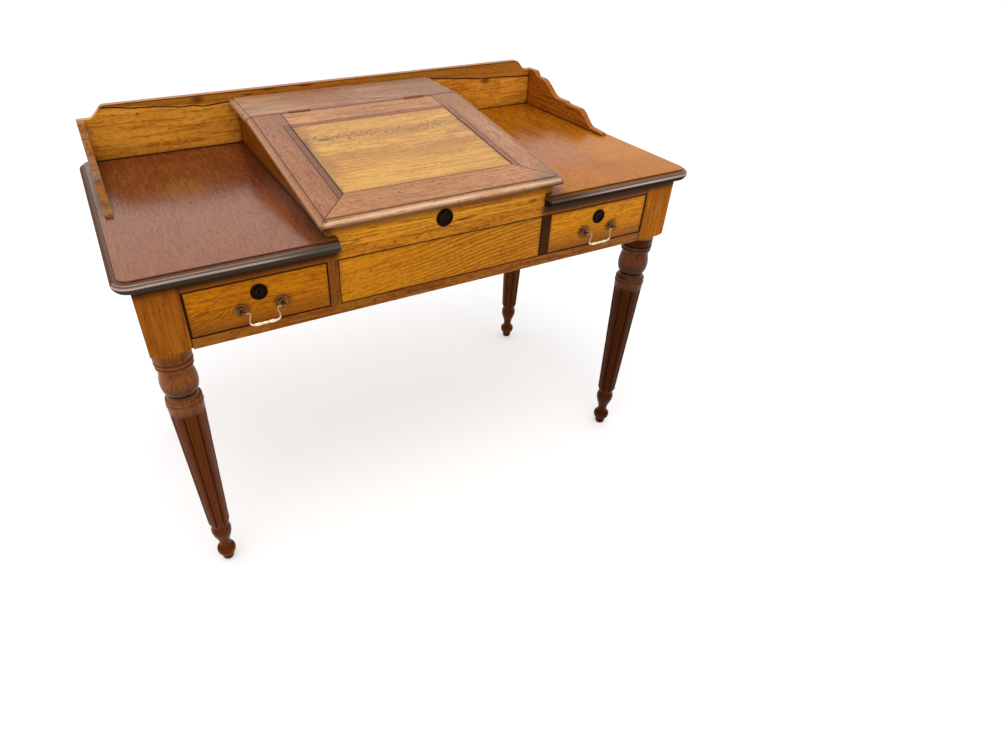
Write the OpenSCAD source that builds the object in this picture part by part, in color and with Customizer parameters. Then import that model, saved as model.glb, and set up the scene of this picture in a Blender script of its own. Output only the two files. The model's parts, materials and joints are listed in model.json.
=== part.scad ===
// Plantation desk: a writing table on four turned legs, with a sloping-lid
// writing box between two low wings, two drawers and a scrolled gallery.
// Millimetres. Z is up, the front faces -Y, and the origin is on the floor
// under the middle of the top.

/* [Desk] */
// Height of the wing tops above the floor
wing_h = 760; // [720:1:790]
// Width over the outer faces of the leg blocks
span_w = 1168; // [1080:1:1300]
// Depth over the outer faces of the leg blocks
span_d = 592; // [560:1:660]
// Side of the square leg block
leg_w = 74; // [68:1:80]
// Thickness of the side and rear aprons
apron_t = 20; // [16:1:24]

/* [Front rails] */
// Depth of the two front rails, front to back
rail_d = 40; // [34:1:50]
// Thickness of the rail under the tops
top_rail_t = 22; // [20:1:26]
// Thickness of the rail under the drawers
low_rail_t = 21; // [18:1:25]
// Height of the drawer openings
opening_h = 93; // [86:1:100]
// Width of the well between the dividers
well_w = 456; // [430:1:480]
// Thickness of the dividers and of the partitions behind them
divider_t = 20; // [16:1:24]
// Thickness of the fixed panel between the drawers
panel_t = 16; // [12:1:20]
// How far the fixed panel and the drawer fronts sit behind the rails
face_inset = 1; // [0.5:0.5:3]
// Length of the tenons that enter the legs
tenon_l = 30; // [20:1:34]
// Shoulder left round each tenon
tenon_shoulder = 4; // [3:0.5:6]

/* [Wing tops] */
// Thickness of the wing boards
wing_t = 26; // [22:1:30]
// Overhang of the wings at the sides
side_over = 26; // [20:1:34]
// Overhang of the wings at the front
front_over = 26; // [22:1:34]
// Overhang of the wings at the back
back_over = 30; // [24:1:40]
// Width of the moulding round the flat
edge_w = 12; // [9:1:16]
// Depth of the small step beside the flat
edge_step = 3.5; // [2:0.5:5]
// Depth of the nose of the moulding below the flat
edge_nose = 12; // [9:1:14]
// How far the moulding is cut back at its underside
edge_back = 20; // [14:1:24]
// Radius of the flat at the outer corners
corner_r = 19; // [12:1:24]

/* [Writing box] */
// Thickness of the sides of the box
box_side_t = 16; // [12:0.5:20]
// Distance from the front of the rails to the hinge line
hinge_back = 438; // [400:1:470]
// Height of the hinge line above the wing tops
hinge_rise = 97; // [90:1:110]
// Slope of the lid in degrees
lid_slope = 7.8; // [6:0.1:9]
// Slope of the fixed board behind the lid in degrees
board_slope = 1.5; // [0:0.1:3]
// Thickness of the fixed board and of the lid
lid_t = 20; // [18:1:24]
// Thickness of the box front
box_front_t = 20; // [16:1:24]

/* [Lid] */
// Overhang of the lid's flat beyond the sides of the box, inside the moulding
lid_over = 5; // [3:0.5:8]
// Overhang of the lid's flat in front of the box
lid_front_over = 6; // [3:0.5:12]
// Width of the lid's moulding
lid_nose = 12; // [9:1:14]
// Width of the stiles
stile_w = 64; // [54:1:74]
// Width of the top rail, above the bead
lid_rail_w = 62; // [50:1:74]
// Width of the bottom rail
lid_foot_w = 72; // [60:1:84]
// Width of the bead strips round the panel
bead_w = 14; // [10:1:18]
// Depth of the bead strips
bead_t = 8; // [6:1:10]
// Thickness of the lid's panel
lid_panel_t = 14; // [11:1:16]
// Overlap of the panel on the frame below it
panel_lap = 8; // [6:1:12]
// Radius of the lid's front corners
lid_corner_r = 9; // [5:1:12]

/* [Gallery] */
// Height of the gallery back above the wings
gallery_h = 115; // [105:1:130]
// Height of the shoulders where the back meets the sides
shoulder_h = 90; // [80:1:100]
// Thickness of the gallery back
gallery_back_t = 18; // [14:1:20]
// Thickness of the gallery sides
gallery_side_t = 15; // [12:1:20]
// Overhang of the gallery sides beyond the leg blocks
gallery_over = 3.5; // [0:0.5:8]
// Distance from the rear edge of the wings to the gallery back
gallery_set = 9; // [5:1:14]
// Length of the gallery sides in front of the back
gallery_side_l = 340; // [310:1:400]
// Drop of the short curve that starts the scroll of the gallery sides
scroll_start = 12; // [8:1:16]
// Drop of the long curve that follows it
scroll_drop = 33.5; // [26:0.5:38]
// Drop of the small step half way down
scroll_step = 4; // [2:0.5:7]
// Height of the front tips of the gallery sides above the wings
tip_h = 8; // [6:1:12]
// Length of the shoulder at each end of the back
shoulder_l = 26; // [18:1:34]
// Length of the curve from shoulder to top edge
back_ogee_l = 36; // [24:1:50]

/* [Turned legs] */
// Radius of the plain collar under the block
collar_r = 35.5; // [33:0.5:36]
// Height from the block down to the two rings above the ball
collar_h = 26; // [20:1:34]
// Radius of the two rings above the ball
ring_r = 36; // [35:0.5:38]
// Height of the two rings above the ball
ring_h = 18; // [14:1:22]
// Radius of the ball
ball_r = 35.5; // [33.5:0.5:39]
// Height of the ball
ball_h = 58; // [48:1:66]
// Radius of the deep groove under the ball
ball_neck_r = 26; // [24:0.5:28]
// Height of the three small members under the ball
coves_h = 20; // [15:1:26]
// Radius of the broad ring under them
bulge_r = 35.5; // [35:0.5:38]
// Height of the broad ring
bulge_h = 10; // [8:1:14]
// Height of the plain band above the reeds
band_h = 12; // [9:1:18]
// Radius of the column at its top
column_r = 33.8; // [31:0.2:34.2]
// Radius of the column at its foot
column_foot_r = 23; // [20:0.5:26]
// Height of the column's foot above the floor
column_foot_z = 128; // [118:1:140]
// Height of the flared ring under the column
flare_h = 13; // [10:1:18]
// Number of reeds round the column
reeds = 8; // [6:1:10]
// Depth of the grooves between the reeds
reed_depth = 3.6; // [2:0.2:5]
// Half width of the grooves between the reeds
reed_half = 7; // [4:0.5:8]
// Radius of the vase at the ankle
vase_r = 22; // [18:0.5:24]
// Height of the widest part of the vase
vase_z = 97; // [88:1:104]
// Radius of the neck under the vase
neck_r = 12; // [10:0.5:15]
// Height of the neck
neck_z = 54; // [48:1:60]
// Radius of the ankle ring
ankle_r = 20.5; // [17:0.5:24]
// Height of the ankle ring's lower edge
toe_h = 16; // [12:1:20]
// Height of the ankle ring
ankle_h = 25; // [18:1:28]
// Radius of the toe
toe_r = 12.5; // [10:0.5:16]
// Radius of the flat that stands on the floor
foot_r = 9; // [7:0.5:10]

/* [Drawers] */
// Thickness of the drawer fronts
front_t = 20; // [18:1:24]
// Thickness of the drawer sides and backs
side_t = 12; // [9:1:14]
// Thickness of the drawer bottoms
bottom_t = 8; // [6:1:10]
// Overall depth of the drawers
drawer_l = 500; // [460:1:515]
// Height of the drawer sides
side_h = 86; // [76:1:87]
// Depth of the dovetails in the drawer fronts
tail_l = 14; // [10:1:16]
// Number of dovetails at each corner
tails = 3; // [2:1:4]
// Width of the drawer runners and kickers
runner_w = 30; // [24:1:34]
// Thickness of the drawer runners
runner_t = 20; // [14:1:20]
// Thickness of the well's bottom
well_bottom_t = 12; // [10:1:16]
// Depth of the groove that holds the well's bottom
housing_d = 6; // [4:0.5:9]

/* [Handles] */
// Distance between the centres of the two posts
handle_c = 76; // [70:1:84]
// Drop of the posts below the middle of the escutcheon
handle_drop = 28.5; // [24:0.5:30]
// Radius of the rosettes
rosette_r = 12; // [10:0.5:14]
// Thickness of the rosettes
rosette_t = 5; // [3:0.5:7]
// Reach of the pivot in front of the drawer
pivot_reach = 16; // [14:0.5:20]
// Radius of the posts
post_r = 3.5; // [3:0.25:4.5]
// Radius of the ball that ends each post
post_ball_r = 4.5; // [4.2:0.1:6]
// Radius of the pivot ends of the bail
pivot_r = 1.6; // [1.2:0.1:2]
// Radius of the bail's arms
bail_r = 1.9; // [1.7:0.1:2.4]
// Radius of the grip
grip_r = 3.4; // [3:0.2:4.4]
// Width of the bail between its shoulders
bail_w = 50; // [46:1:54]
// How far each arm swells out below its shoulder
bail_sway = 3; // [1:0.5:4]
// Radius of the bail's shoulders
bail_shoulder = 3; // [2.5:0.5:4]
// Radius of the bends from the arms to the grip
bail_elbow = 7; // [5:0.5:8]
// Drop of the grip below the pivots
bail_drop = 26; // [22:1:30]

/* [Locks] */
// Radius of the drawers' escutcheons
escutcheon_r = 15.8; // [14:0.2:18]
// Radius of the lid's escutcheon
lid_escutcheon_r = 18; // [15:0.5:20]
// Height of the drawers' escutcheons above the lower rail
escutcheon_up = 63.5; // [60:0.5:66]
// Thickness of an escutcheon in front of the wood
escutcheon_t = 4; // [3:0.5:6]
// Distance from the lid escutcheon's centre up to the wing tops' level
lid_key_drop = 8; // [4:1:8]
// Distance of the lid's lock from the middle of the desk, to the left
lid_lock_off = 6; // [0:1:12]
// Radius of the round part of a keyhole
keyhole_r = 3; // [2.5:0.5:3.5]
// Width of the slot of a keyhole
key_slot_w = 3; // [2:0.5:3.5]
// Width of a lock case
case_w = 50; // [44:1:60]
// Height of a lock case
case_h = 36; // [34:1:40]
// Thickness of a lock case
case_t = 9; // [8:0.5:10]
// Width of a bolt
bolt_w = 12; // [8:1:16]
// Thickness of a bolt
bolt_t = 4; // [3:0.5:5]
// Length of a bolt
bolt_l = 22; // [18:1:26]
// Travel of a bolt
bolt_throw = 6; // [4:0.5:6]
// Distance from the lid down to its lock case
case_drop = 3; // [2:0.5:5]

/* [Lid hinges] */
// Distance from the middle of the desk to each hinge
hinge_x = 140; // [100:1:160]
// Length of each hinge
hinge_l = 50; // [40:1:60]
// Radius of the hinge knuckles
knuckle_r = 3; // [2.5:0.25:3.5]
// Radius of the hinge pins
hinge_pin_r = 1.3; // [1:0.1:1.5]
// Height of the hinge leaves
leaf_h = 15; // [12:0.5:15.5]
// Thickness of the hinge leaves
leaf_t = 1.5; // [1.2:0.1:2]
// Length of the hinge screws
screw_l = 14; // [10:1:18]
// Radius of the hinge screws
screw_r = 1.5; // [1.2:0.1:1.8]

/* [Clearances] */
// Gap beside and above a drawer
drawer_gap = 1; // [0.6:0.1:1.5]
// Gap between the lid's edge and the hinge line
hinge_gap = 0.8; // [0.6:0.1:1.2]
// Gap under the closed lid
lid_gap = 0.4; // [0.3:0.1:0.8]
// Gap beside the lid's panel
panel_gap = 0.7; // [0.4:0.1:1]
// Gap round a tenon, a tongue or a dovetail
joint_gap = 0.2; // [0.1:0.05:0.3]
// Radial gap of a pin in its bore
pin_gap = 0.06; // [0.04:0.01:0.1]
// Gap between a bolt and its channel
bolt_gap = 0.3; // [0.2:0.1:0.4]
// Gap round a bolt in the mortise that it locks into
mortise_gap = 1; // [0.8:0.1:1.5]

/* [Hidden] */
$fn = 48;
cut = 1;
half_w = span_w / 2;
front_y = -(span_d + front_over + back_over) / 2 + front_over;
back_y = front_y + span_d;
wing_back_y = back_y + back_over;
wing_z = wing_h - wing_t;
top_rail_z = wing_z - top_rail_t;
low_rail_z = top_rail_z - opening_h;
rail_bottom_z = low_rail_z - low_rail_t;
leg_in_x = half_w - leg_w;
half_well = well_w / 2;
divider_x = half_well + divider_t;
box_half = half_well + box_side_t;
lid_half = box_half + lid_over;
lid_l = (hinge_back + lid_front_over) / cos(lid_slope);
rail_back_y = front_y + rail_d;
apron_in_y = back_y - apron_t;
apron_h = wing_z - rail_bottom_z;
hinge_y = front_y + hinge_back;
hinge_z = wing_h + hinge_rise;
gallery_y = wing_back_y - gallery_set - gallery_back_t;
gallery_out_x = half_w + gallery_over;
board_l = (gallery_y - hinge_y) / cos(board_slope);
flat_x = half_w + side_over - edge_w;
flat_front_y = front_y - front_over + edge_w;
// The moulded strips reach in past the cut-back underside and the round corners
edge_in = max(edge_back, corner_r) + cut;

// Drawer sizes follow the openings
drawer_w = leg_in_x - divider_x - 2 * drawer_gap;
drawer_x = (leg_in_x + divider_x) / 2;
drawer_front_y = front_y + face_inset;
drawer_front_h = opening_h - 2 * drawer_gap;
drawer_z = low_rail_z + drawer_gap;
slide_gap = 0.3;
side_z = low_rail_z + slide_gap;
groove_d = side_t / 2;
bottom_z = side_z + 7;
key_z = low_rail_z + escutcheon_up;
handle_z = key_z - handle_drop;
drawer_case_z = drawer_z + drawer_front_h - case_h;

// The lid's lock hangs from the top edge of the box front
lid_key_x = -lid_lock_off;
lid_key_z = wing_h - lid_key_drop;
box_front_back_y = front_y + box_front_t;
lid_case_z = lid_under_z(box_front_back_y) - lid_gap - case_h - case_drop;

// Height of the lid's underside at a given depth
function lid_under_z(y) = hinge_z + (y - hinge_y) * tan(lid_slope) - lid_t / cos(lid_slope);

// Outline helpers: each returns the points from a to b, both as [across, up]
function round_member(a, b, bulge, n) =
    [for (i = [0 : n]) let (p = 180 * i / n, t = (1 - cos(p)) / 2)
        [a[0] + (b[0] - a[0]) * t + bulge * sin(p), a[1] + (b[1] - a[1]) * t]];
function bow(a, b, bulge, n) =
    [for (i = [0 : n]) let (t = i / n)
        [a[0] + (b[0] - a[0]) * t + 4 * bulge * t * (1 - t), a[1] + (b[1] - a[1]) * t]];
function ogee(a, b, n) =
    [for (i = [0 : n]) let (t = i / n)
        [a[0] + (b[0] - a[0]) * t, a[1] + (b[1] - a[1]) * (1 - cos(180 * t)) / 2]];
function ogee_across(a, b, n) = [for (p = ogee([a[1], a[0]], [b[1], b[0]], n)) [p[1], p[0]]];
function ring(r, low, high) = let (depth = (high - low) / 4)
    round_member([r - depth, low], [r - depth, high], depth, 6);
function quarter(a, b, n) =
    [for (i = [0 : n]) let (p = 90 * i / n)
        [a[0] + (b[0] - a[0]) * sin(p), b[1] + (a[1] - b[1]) * cos(p)]];

// Everything that comes in a left and a right version is drawn on the right
module sided(side) {
    if (side < 0) mirror([1, 0, 0]) children();
    else children();
}

module board(size, low) {
    translate(low) cube(size);
}

// Turned legs
function leg_points() = let (
    top = rail_bottom_z,
    ring_top = top - collar_h,
    ball_top = ring_top - ring_h,
    ball_low = ball_top - ball_h,
    cove_low = ball_low - coves_h,
    bulge_low = cove_low - bulge_h,
    reed_top = bulge_low - band_h,
    ball_mid = ball_low + 0.4 * ball_h,
    ring_mid = ball_top + 0.42 * ring_h,
    member = coves_h / 3,
    band_r = column_r + 0.4,
    groove = 1.5
) concat(
    [[0, 0], [foot_r, 0]],
    round_member([foot_r + 1, 1], [toe_r - 1, toe_h], toe_r - foot_r - 1, 6),
    round_member([toe_r, toe_h + groove], [neck_r + 3, toe_h + ankle_h], ankle_r - toe_r - 1, 10),
    [[neck_r + 1, toe_h + ankle_h + groove]],
    ogee_across([neck_r, neck_z], [vase_r, vase_z], 8),
    ogee_across([vase_r, vase_z + 2 * groove], [vase_r - 3, column_foot_z - flare_h - groove], 4),
    [[vase_r - 3.5, column_foot_z - flare_h]],
    ogee_across([vase_r - 3, column_foot_z - flare_h + groove], [column_foot_r, column_foot_z], 5),
    [[column_r, reed_top], [band_r, reed_top], [band_r, bulge_low]],
    round_member([bulge_r - 0.4, bulge_low + groove / 2], [bulge_r - 1.4, cove_low - groove], 0.8, 6),
    [[bulge_r - 2.4, cove_low - groove / 2]],
    ring(bulge_r - 0.8, cove_low, cove_low + member),
    quarter([bulge_r - 3, cove_low + member], [ball_neck_r + 2, cove_low + 2 * member], 4),
    ring(ball_neck_r + 3, cove_low + 2 * member + groove / 2, ball_low - groove),
    [[ball_neck_r, ball_low - groove]],
    quarter([ball_neck_r + 0.5, ball_low], [ball_r, ball_mid], 8),
    ogee_across([ball_r, ball_mid + groove], [ring_r - 5, ball_top], 10),
    ring(ring_r - 0.8, ball_top + groove / 2, ring_mid - groove / 2),
    [[ring_r - 3.2, ring_mid]],
    ring(ring_r, ring_mid + groove / 2, ring_top - groove / 2),
    [[collar_r - 0.8, ring_top], [collar_r, ring_top + groove]],
    [[collar_r, top + cut], [0, top + cut]]
);

module reed_groove() {
    top = rail_bottom_z - collar_h - ring_h - ball_h - coves_h - bulge_h - band_h;
    lean = atan((column_r - column_foot_r) / (top - column_foot_z));
    length = (top - column_foot_z) / cos(lean) - 3;
    translate([column_foot_r, 0, column_foot_z])
    rotate([0, lean, 0])
    translate([0, 0, -6])
    linear_extrude(height = length + 6)
    polygon([
        [-reed_depth, 0], [-reed_depth * 0.55, reed_half * 0.2],
        [-reed_depth * 0.2, reed_half * 0.5], [reed_depth * 0.4, reed_half],
        [reed_depth * 2, reed_half], [reed_depth * 2, -reed_half],
        [reed_depth * 0.4, -reed_half], [-reed_depth * 0.2, -reed_half * 0.5],
        [-reed_depth * 0.55, -reed_half * 0.2]
    ]);
}

// The square block, with the rounded shoulders that turning leaves on it
module leg_block() {
    shoulder = 7;
    half = leg_w / 2;
    diagonal = half * sqrt(2) + 1;
    intersection() {
        board([leg_w, leg_w, apron_h], [-half, -half, rail_bottom_z]);
        rotate_extrude()
        polygon(concat(
            [[0, rail_bottom_z]],
            quarter([collar_r + 1, rail_bottom_z], [diagonal, rail_bottom_z + shoulder], 6),
            [[diagonal, wing_z + cut], [0, wing_z + cut]]
        ));
    }
}

// Mortises for the two rails (from the side) and for an apron (from behind)
module leg_mortises(front) {
    half = leg_w / 2;
    if (front) {
        rail_mortise(top_rail_z, top_rail_t);
        rail_mortise(low_rail_z - low_rail_t, low_rail_t);
    } else {
        translate([-half, half - apron_t, rail_bottom_z])
        apron_tenon(joint_gap);
    }
    side = front ? 1 : -1;
    translate([half, side * half, rail_bottom_z])
    rotate([0, 0, side > 0 ? -90 : 90])
    translate([0, side > 0 ? -apron_t : 0, 0])
    apron_tenon(joint_gap);
}

module rail_mortise(z, t) {
    translate([-leg_w / 2, -leg_w / 2, z])
    rail_tenon(t, joint_gap);
}

// Tenons reach in +X from the origin corner; gap makes the matching mortise
module rail_tenon(t, gap) {
    s = tenon_shoulder - gap;
    board([tenon_l + gap, rail_d - 2 * s, t - 2 * s], [0, s, s]);
}

module apron_tenon(gap) {
    s = tenon_shoulder - gap;
    board([tenon_l + gap, apron_t - 2 * s, apron_h - 4 * tenon_shoulder + 2 * gap],
        [0, s, 2 * tenon_shoulder - gap]);
}

// A right-hand leg on its own axis, front or rear
module leg(front) {
    color("saddlebrown")
    difference() {
        union() {
            leg_block();
            difference() {
                rotate_extrude() polygon(leg_points());
                for (i = [0 : reeds - 1]) rotate([0, 0, (i + 0.5) * 360 / reeds]) reed_groove();
            }
        }
        leg_mortises(front);
    }
}

module placed_leg(side, front) {
    y = front ? front_y + leg_w / 2 : back_y - leg_w / 2;
    sided(side) translate([half_w - leg_w / 2, y, 0]) leg(front);
}

module front_left_leg() { placed_leg(-1, true); }
module front_right_leg() { placed_leg(1, true); }
module rear_left_leg() { placed_leg(-1, false); }
module rear_right_leg() { placed_leg(1, false); }

// Front rails, with a tenon at each end
module front_rail(z, t) {
    board([2 * leg_in_x, rail_d, t], [-leg_in_x, front_y, z]);
    for (side = [-1, 1]) sided(side) translate([leg_in_x, front_y, z]) rail_tenon(t, 0);
}

module top_rail() {
    color("peru")
    difference() {
        front_rail(top_rail_z, top_rail_t);
        for (side = [-1, 1]) translate([side * drawer_x, 0, 0]) bolt_mortise(top_rail_z);
    }
}

module lower_rail() {
    color("peru") front_rail(rail_bottom_z, low_rail_t);
}

module center_panel() {
    color("goldenrod")
    board([well_w - panel_gap, panel_t, opening_h - panel_gap],
        [-half_well + panel_gap / 2, front_y + face_inset, low_rail_z]);
}

module divider(side) {
    sided(side) board([divider_t, rail_d, opening_h], [half_well, front_y, low_rail_z]);
}

module left_divider() { color("sienna") divider(-1); }
module right_divider() { color([0.25, 0.16, 0.08]) divider(1); }

// Aprons
module side_apron(side) {
    l = span_d - 2 * leg_w;
    color("peru")
    sided(side) {
        board([apron_t, l, apron_h], [half_w - apron_t, front_y + leg_w, rail_bottom_z]);
        translate([half_w - apron_t, back_y - leg_w, rail_bottom_z]) apron_end();
        translate([half_w - apron_t, front_y + leg_w, rail_bottom_z]) mirror([0, 1, 0]) apron_end();
    }
}

module apron_end() {
    translate([apron_t, 0, 0]) rotate([0, 0, 90]) apron_tenon(0);
}

module left_apron() { side_apron(-1); }
module right_apron() { side_apron(1); }

module rear_apron() {
    color("peru") {
        board([2 * leg_in_x, apron_t, apron_h], [-leg_in_x, apron_in_y, rail_bottom_z]);
        for (side = [-1, 1]) sided(side)
            translate([leg_in_x, apron_in_y, rail_bottom_z]) apron_tenon(0);
    }
}

// The box's back stands on the rear apron, between the wings
module box_back() {
    color("burlywood")
    board([well_w, apron_t, board_under_z(apron_in_y) - wing_z], [-half_well, apron_in_y, wing_z]);
}

// Height of the fixed board's underside at a given depth
function board_under_z(y) = hinge_z + (y - hinge_y) * tan(board_slope) - lid_t / cos(board_slope);

// Partitions and bottom of the well
module partition(side) {
    color("burlywood")
    sided(side)
    difference() {
        board([divider_t, apron_in_y - rail_back_y, apron_h],
            [half_well, rail_back_y, rail_bottom_z]);
        board([housing_d + cut, apron_in_y - rail_back_y + 2 * cut, well_bottom_t + 2 * joint_gap],
            [half_well - cut, rail_back_y - cut, well_bottom_z() - joint_gap]);
    }
}

function well_bottom_z() = low_rail_z - well_bottom_t;

module left_partition() { partition(-1); }
module right_partition() { partition(1); }

module well_bottom() {
    w = well_w + 2 * (housing_d - joint_gap);
    color("burlywood")
    board([w, apron_in_y - rail_back_y, well_bottom_t], [-w / 2, rail_back_y, well_bottom_z()]);
}

// Section of the wings' moulding: across from the flat, and down from the top
function edge_points(inside) = concat(
    [[-inside, 0], [0, 0], [0, -edge_step], [1, -edge_step]],
    quarter([1, -edge_step + 0.5], [edge_w, -edge_nose], 8),
    [[edge_w - 0.5, -edge_nose - 3]],
    [for (i = [1 : 5]) let (p = 90 * i / 5)
        [edge_w - 2 - (edge_back - 2) * (1 - cos(p)), -edge_nose - 4 - (wing_t - edge_nose - 4) * sin(p)]],
    [[-inside, -wing_t]]
);

module edge_strip(length) {
    rotate([90, 0, 90]) linear_extrude(height = length) polygon(edge_points(edge_in));
}

module edge_corner() {
    rotate_extrude(angle = 90)
    polygon([for (p = edge_points(corner_r)) [p[0] + corner_r, p[1]]]);
}

// A wing board: flat slab, moulded front and outer edges, two round corners
module wing(side) {
    inner = half_well;
    flat_back_y = wing_back_y - edge_w;
    depth = flat_back_y - flat_front_y;
    width = flat_x - inner;
    color("sienna")
    sided(side)
    translate([0, 0, wing_h]) {
        board([width - edge_in, depth - 2 * edge_in, wing_t],
            [inner, flat_front_y + edge_in, -wing_t]);
        translate([inner, flat_front_y, 0]) mirror([0, 1, 0]) edge_run(width);
        translate([inner, flat_back_y, 0]) edge_run(width);
        translate([flat_x, flat_front_y + edge_in, 0])
        rotate([0, 0, 90]) mirror([0, 1, 0]) edge_strip(depth - 2 * edge_in);
    }
}

// A run of moulding along X that ends in a round corner
module edge_run(width) {
    r = corner_r;
    edge_strip(width - r);
    translate([width - r, -r, 0]) edge_corner();
    translate([width, -edge_in, 0]) rotate([0, 0, 90]) mirror([0, 1, 0]) edge_strip(edge_in - r);
}

module left_wing() { wing(-1); }
module right_wing() { wing(1); }

// Writing box
module box_side(side) {
    gap_z = lid_gap / cos(lid_slope);
    color("peru")
    sided(side)
    translate([half_well, 0, 0])
    rotate([90, 0, 90])
    linear_extrude(height = box_side_t)
    polygon([
        [box_front_back_y, wing_h],
        [box_front_back_y, lid_under_z(box_front_back_y) - gap_z],
        [lid_cut_y(), lid_under_z(lid_cut_y()) - gap_z],
        [lid_cut_y(), board_under_z(lid_cut_y())],
        [back_y, board_under_z(back_y)],
        [back_y, wing_h]
    ]);
}

// Where the joint between lid and fixed board meets the box side
function lid_cut_y() = hinge_y + lid_t * sin(lid_slope) + hinge_gap;

module left_box_side() { box_side(-1); }
module right_box_side() { box_side(1); }

module box_front() {
    color("goldenrod")
    difference() {
        union() {
            board([well_w, box_front_t, wing_t + cut], [-half_well, front_y, wing_z]);
            board([2 * box_half, box_front_t, hinge_rise], [-box_half, front_y, wing_h]);
        }
        in_lid() board([2 * lid_half, 2 * hinge_back, hinge_rise * 2],
            [-lid_half, -1.5 * hinge_back, -lid_t - lid_gap]);
        lid_lock_pocket();
        translate([lid_key_x, front_y, lid_key_z]) keyhole(box_front_t);
    }
}

// The lid's own frame: X across, -Y down the slope, Z out of its face
module in_lid() {
    translate([0, hinge_y, hinge_z]) rotate([lid_slope, 0, 0]) children();
}

module in_board() {
    translate([0, hinge_y, hinge_z]) rotate([board_slope, 0, 0]) children();
}

// Section of the lid's moulding: out from the flat, and up
function nose_points() = let (r = lid_t * 0.4) concat(
    [[0, -1.2], [1.5, -1.2], [1.5, -2]],
    [for (i = [0 : 8]) let (p = 90 - 20 * i)
        [lid_nose - r + r * cos(p), -2 - r + r * sin(p)]],
    [[lid_nose - r * 1.3, -lid_t], [0, -lid_t]]
);

module nose_strip(length) {
    rotate([90, 0, 0]) linear_extrude(height = length) polygon(nose_points());
}

module hinge_board() {
    color("rosybrown")
    difference() {
        in_board() {
            board([2 * lid_half, board_l + lid_t, lid_t], [-lid_half, -lid_t / 2, -lid_t]);
            for (side = [-1, 1]) sided(side)
                translate([lid_half, board_l + lid_t / 2, 0]) nose_strip(board_l + lid_t);
        }
        in_lid() board([4 * lid_half, hinge_back, 4 * lid_t],
            [-2 * lid_half, hinge_gap - hinge_back, -2 * lid_t]);
        board([4 * lid_half, hinge_back, 4 * lid_t],
            [-2 * lid_half, gallery_y, hinge_z - 2 * lid_t]);
        in_lid() hinge_recess(1);
    }
}

// Gallery
module gallery_back() {
    top = wing_h + gallery_h;
    low = wing_h + shoulder_h;
    x0 = gallery_out_x - shoulder_l;
    x1 = x0 - back_ogee_l;
    right = concat([[gallery_out_x, wing_h], [gallery_out_x, low]], ogee([x0, low], [x1, top], 10));
    color("goldenrod")
    translate([0, gallery_y + gallery_back_t, 0])
    rotate([90, 0, 0])
    linear_extrude(height = gallery_back_t)
    polygon(concat(right, [for (i = [len(right) - 1 : -1 : 0]) [-right[i][0], right[i][1]]]));
}

// The side's scrolled top falls forward in four curves, with level runs between, to a thin tip
module gallery_side(side) {
    corner = wing_h + shoulder_h;
    start = corner - scroll_start;
    middle = start - scroll_drop;
    low = middle - scroll_step;
    tip = wing_h + tip_h;
    l = gallery_side_l;
    y = gallery_y;
    scroll = concat(
        [[y, corner]],
        ogee([y - l * 0.07, corner], [y - l * 0.12, start], 6),
        ogee([y - l * 0.18, start], [y - l * 0.41, middle], 12),
        ogee([y - l * 0.52, middle], [y - l * 0.55, low], 4),
        ogee([y - l * 0.69, low], [y - l * 0.87, tip], 10),
        [[y - l + tip_h * 0.4, tip - tip_h * 0.3], [y - l, wing_h + tip_h * 0.2]]
    );
    color("peru")
    sided(side)
    translate([gallery_out_x - gallery_side_t, 0, 0])
    rotate([90, 0, 90])
    linear_extrude(height = gallery_side_t)
    polygon(concat(scroll, [[y - l, wing_h], [y, wing_h]]));
}

module gallery_left_side() { gallery_side(-1); }
module gallery_right_side() { gallery_side(1); }

// Drawer carriage inside the frame
module drawer_runners() {
    y = rail_back_y;
    l = apron_in_y - rail_back_y;
    guide_w = 14;
    color("burlywood")
    for (side = [-1, 1]) sided(side) {
        board([runner_w, l, runner_t], [divider_x, y, low_rail_z - runner_t]);
        board([runner_w, l, runner_t], [leg_in_x - runner_w, y, low_rail_z - runner_t]);
        board([guide_w, span_d - 2 * leg_w, 2 * runner_t],
            [leg_in_x, front_y + leg_w, low_rail_z - runner_t]);
    }
}

module drawer_kickers() {
    z = side_z + side_h + drawer_gap;
    l = apron_in_y - rail_back_y;
    color("burlywood")
    for (side = [-1, 1], x = [divider_x, leg_in_x - runner_w]) sided(side)
        board([runner_w, l, wing_z - z], [x, rail_back_y, z]);
}

module drawer_stops() {
    stop_w = 34;
    y = drawer_front_y + front_t + slide_gap;
    color("burlywood")
    for (side = [-1, 1], x = [-1, 1]) sided(side)
        board([stop_w, rail_back_y - y, bottom_z - low_rail_z - 2],
            [drawer_x + x * drawer_w / 4 - stop_w / 2, y, low_rail_z]);
}

// Drawers, drawn round X = 0 and moved sideways
module in_drawer(side) {
    sided(side) translate([drawer_x, 0, 0]) children();
}

// Dovetails on a drawer side, or with a gap their sockets in the front
module tails_shape(gap) {
    pitch = side_h / tails;
    y0 = drawer_front_y + front_t;
    y1 = y0 - tail_l;
    near = pitch * 0.26 + gap;
    far = pitch * 0.34 + gap;
    for (i = [0 : tails - 1])
        translate([0, 0, side_z + pitch * (i + 0.5)])
        rotate([90, 0, 90])
        linear_extrude(height = side_t + gap)
        polygon([[y0 + gap, -near], [y1 - gap, -far], [y1 - gap, far], [y0 + gap, near]]);
}

module drawer_front() {
    color("goldenrod")
    difference() {
        board([drawer_w, front_t, drawer_front_h], [-drawer_w / 2, drawer_front_y, drawer_z]);
        for (side = [-1, 1]) sided(side)
            translate([drawer_w / 2 - side_t - joint_gap, 0, 0]) tails_shape(joint_gap);
        bottom_panel(joint_gap);
        drawer_lock_pocket();
        translate([0, drawer_front_y, key_z]) keyhole(front_t);
        handle_holes();
    }
}

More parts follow.
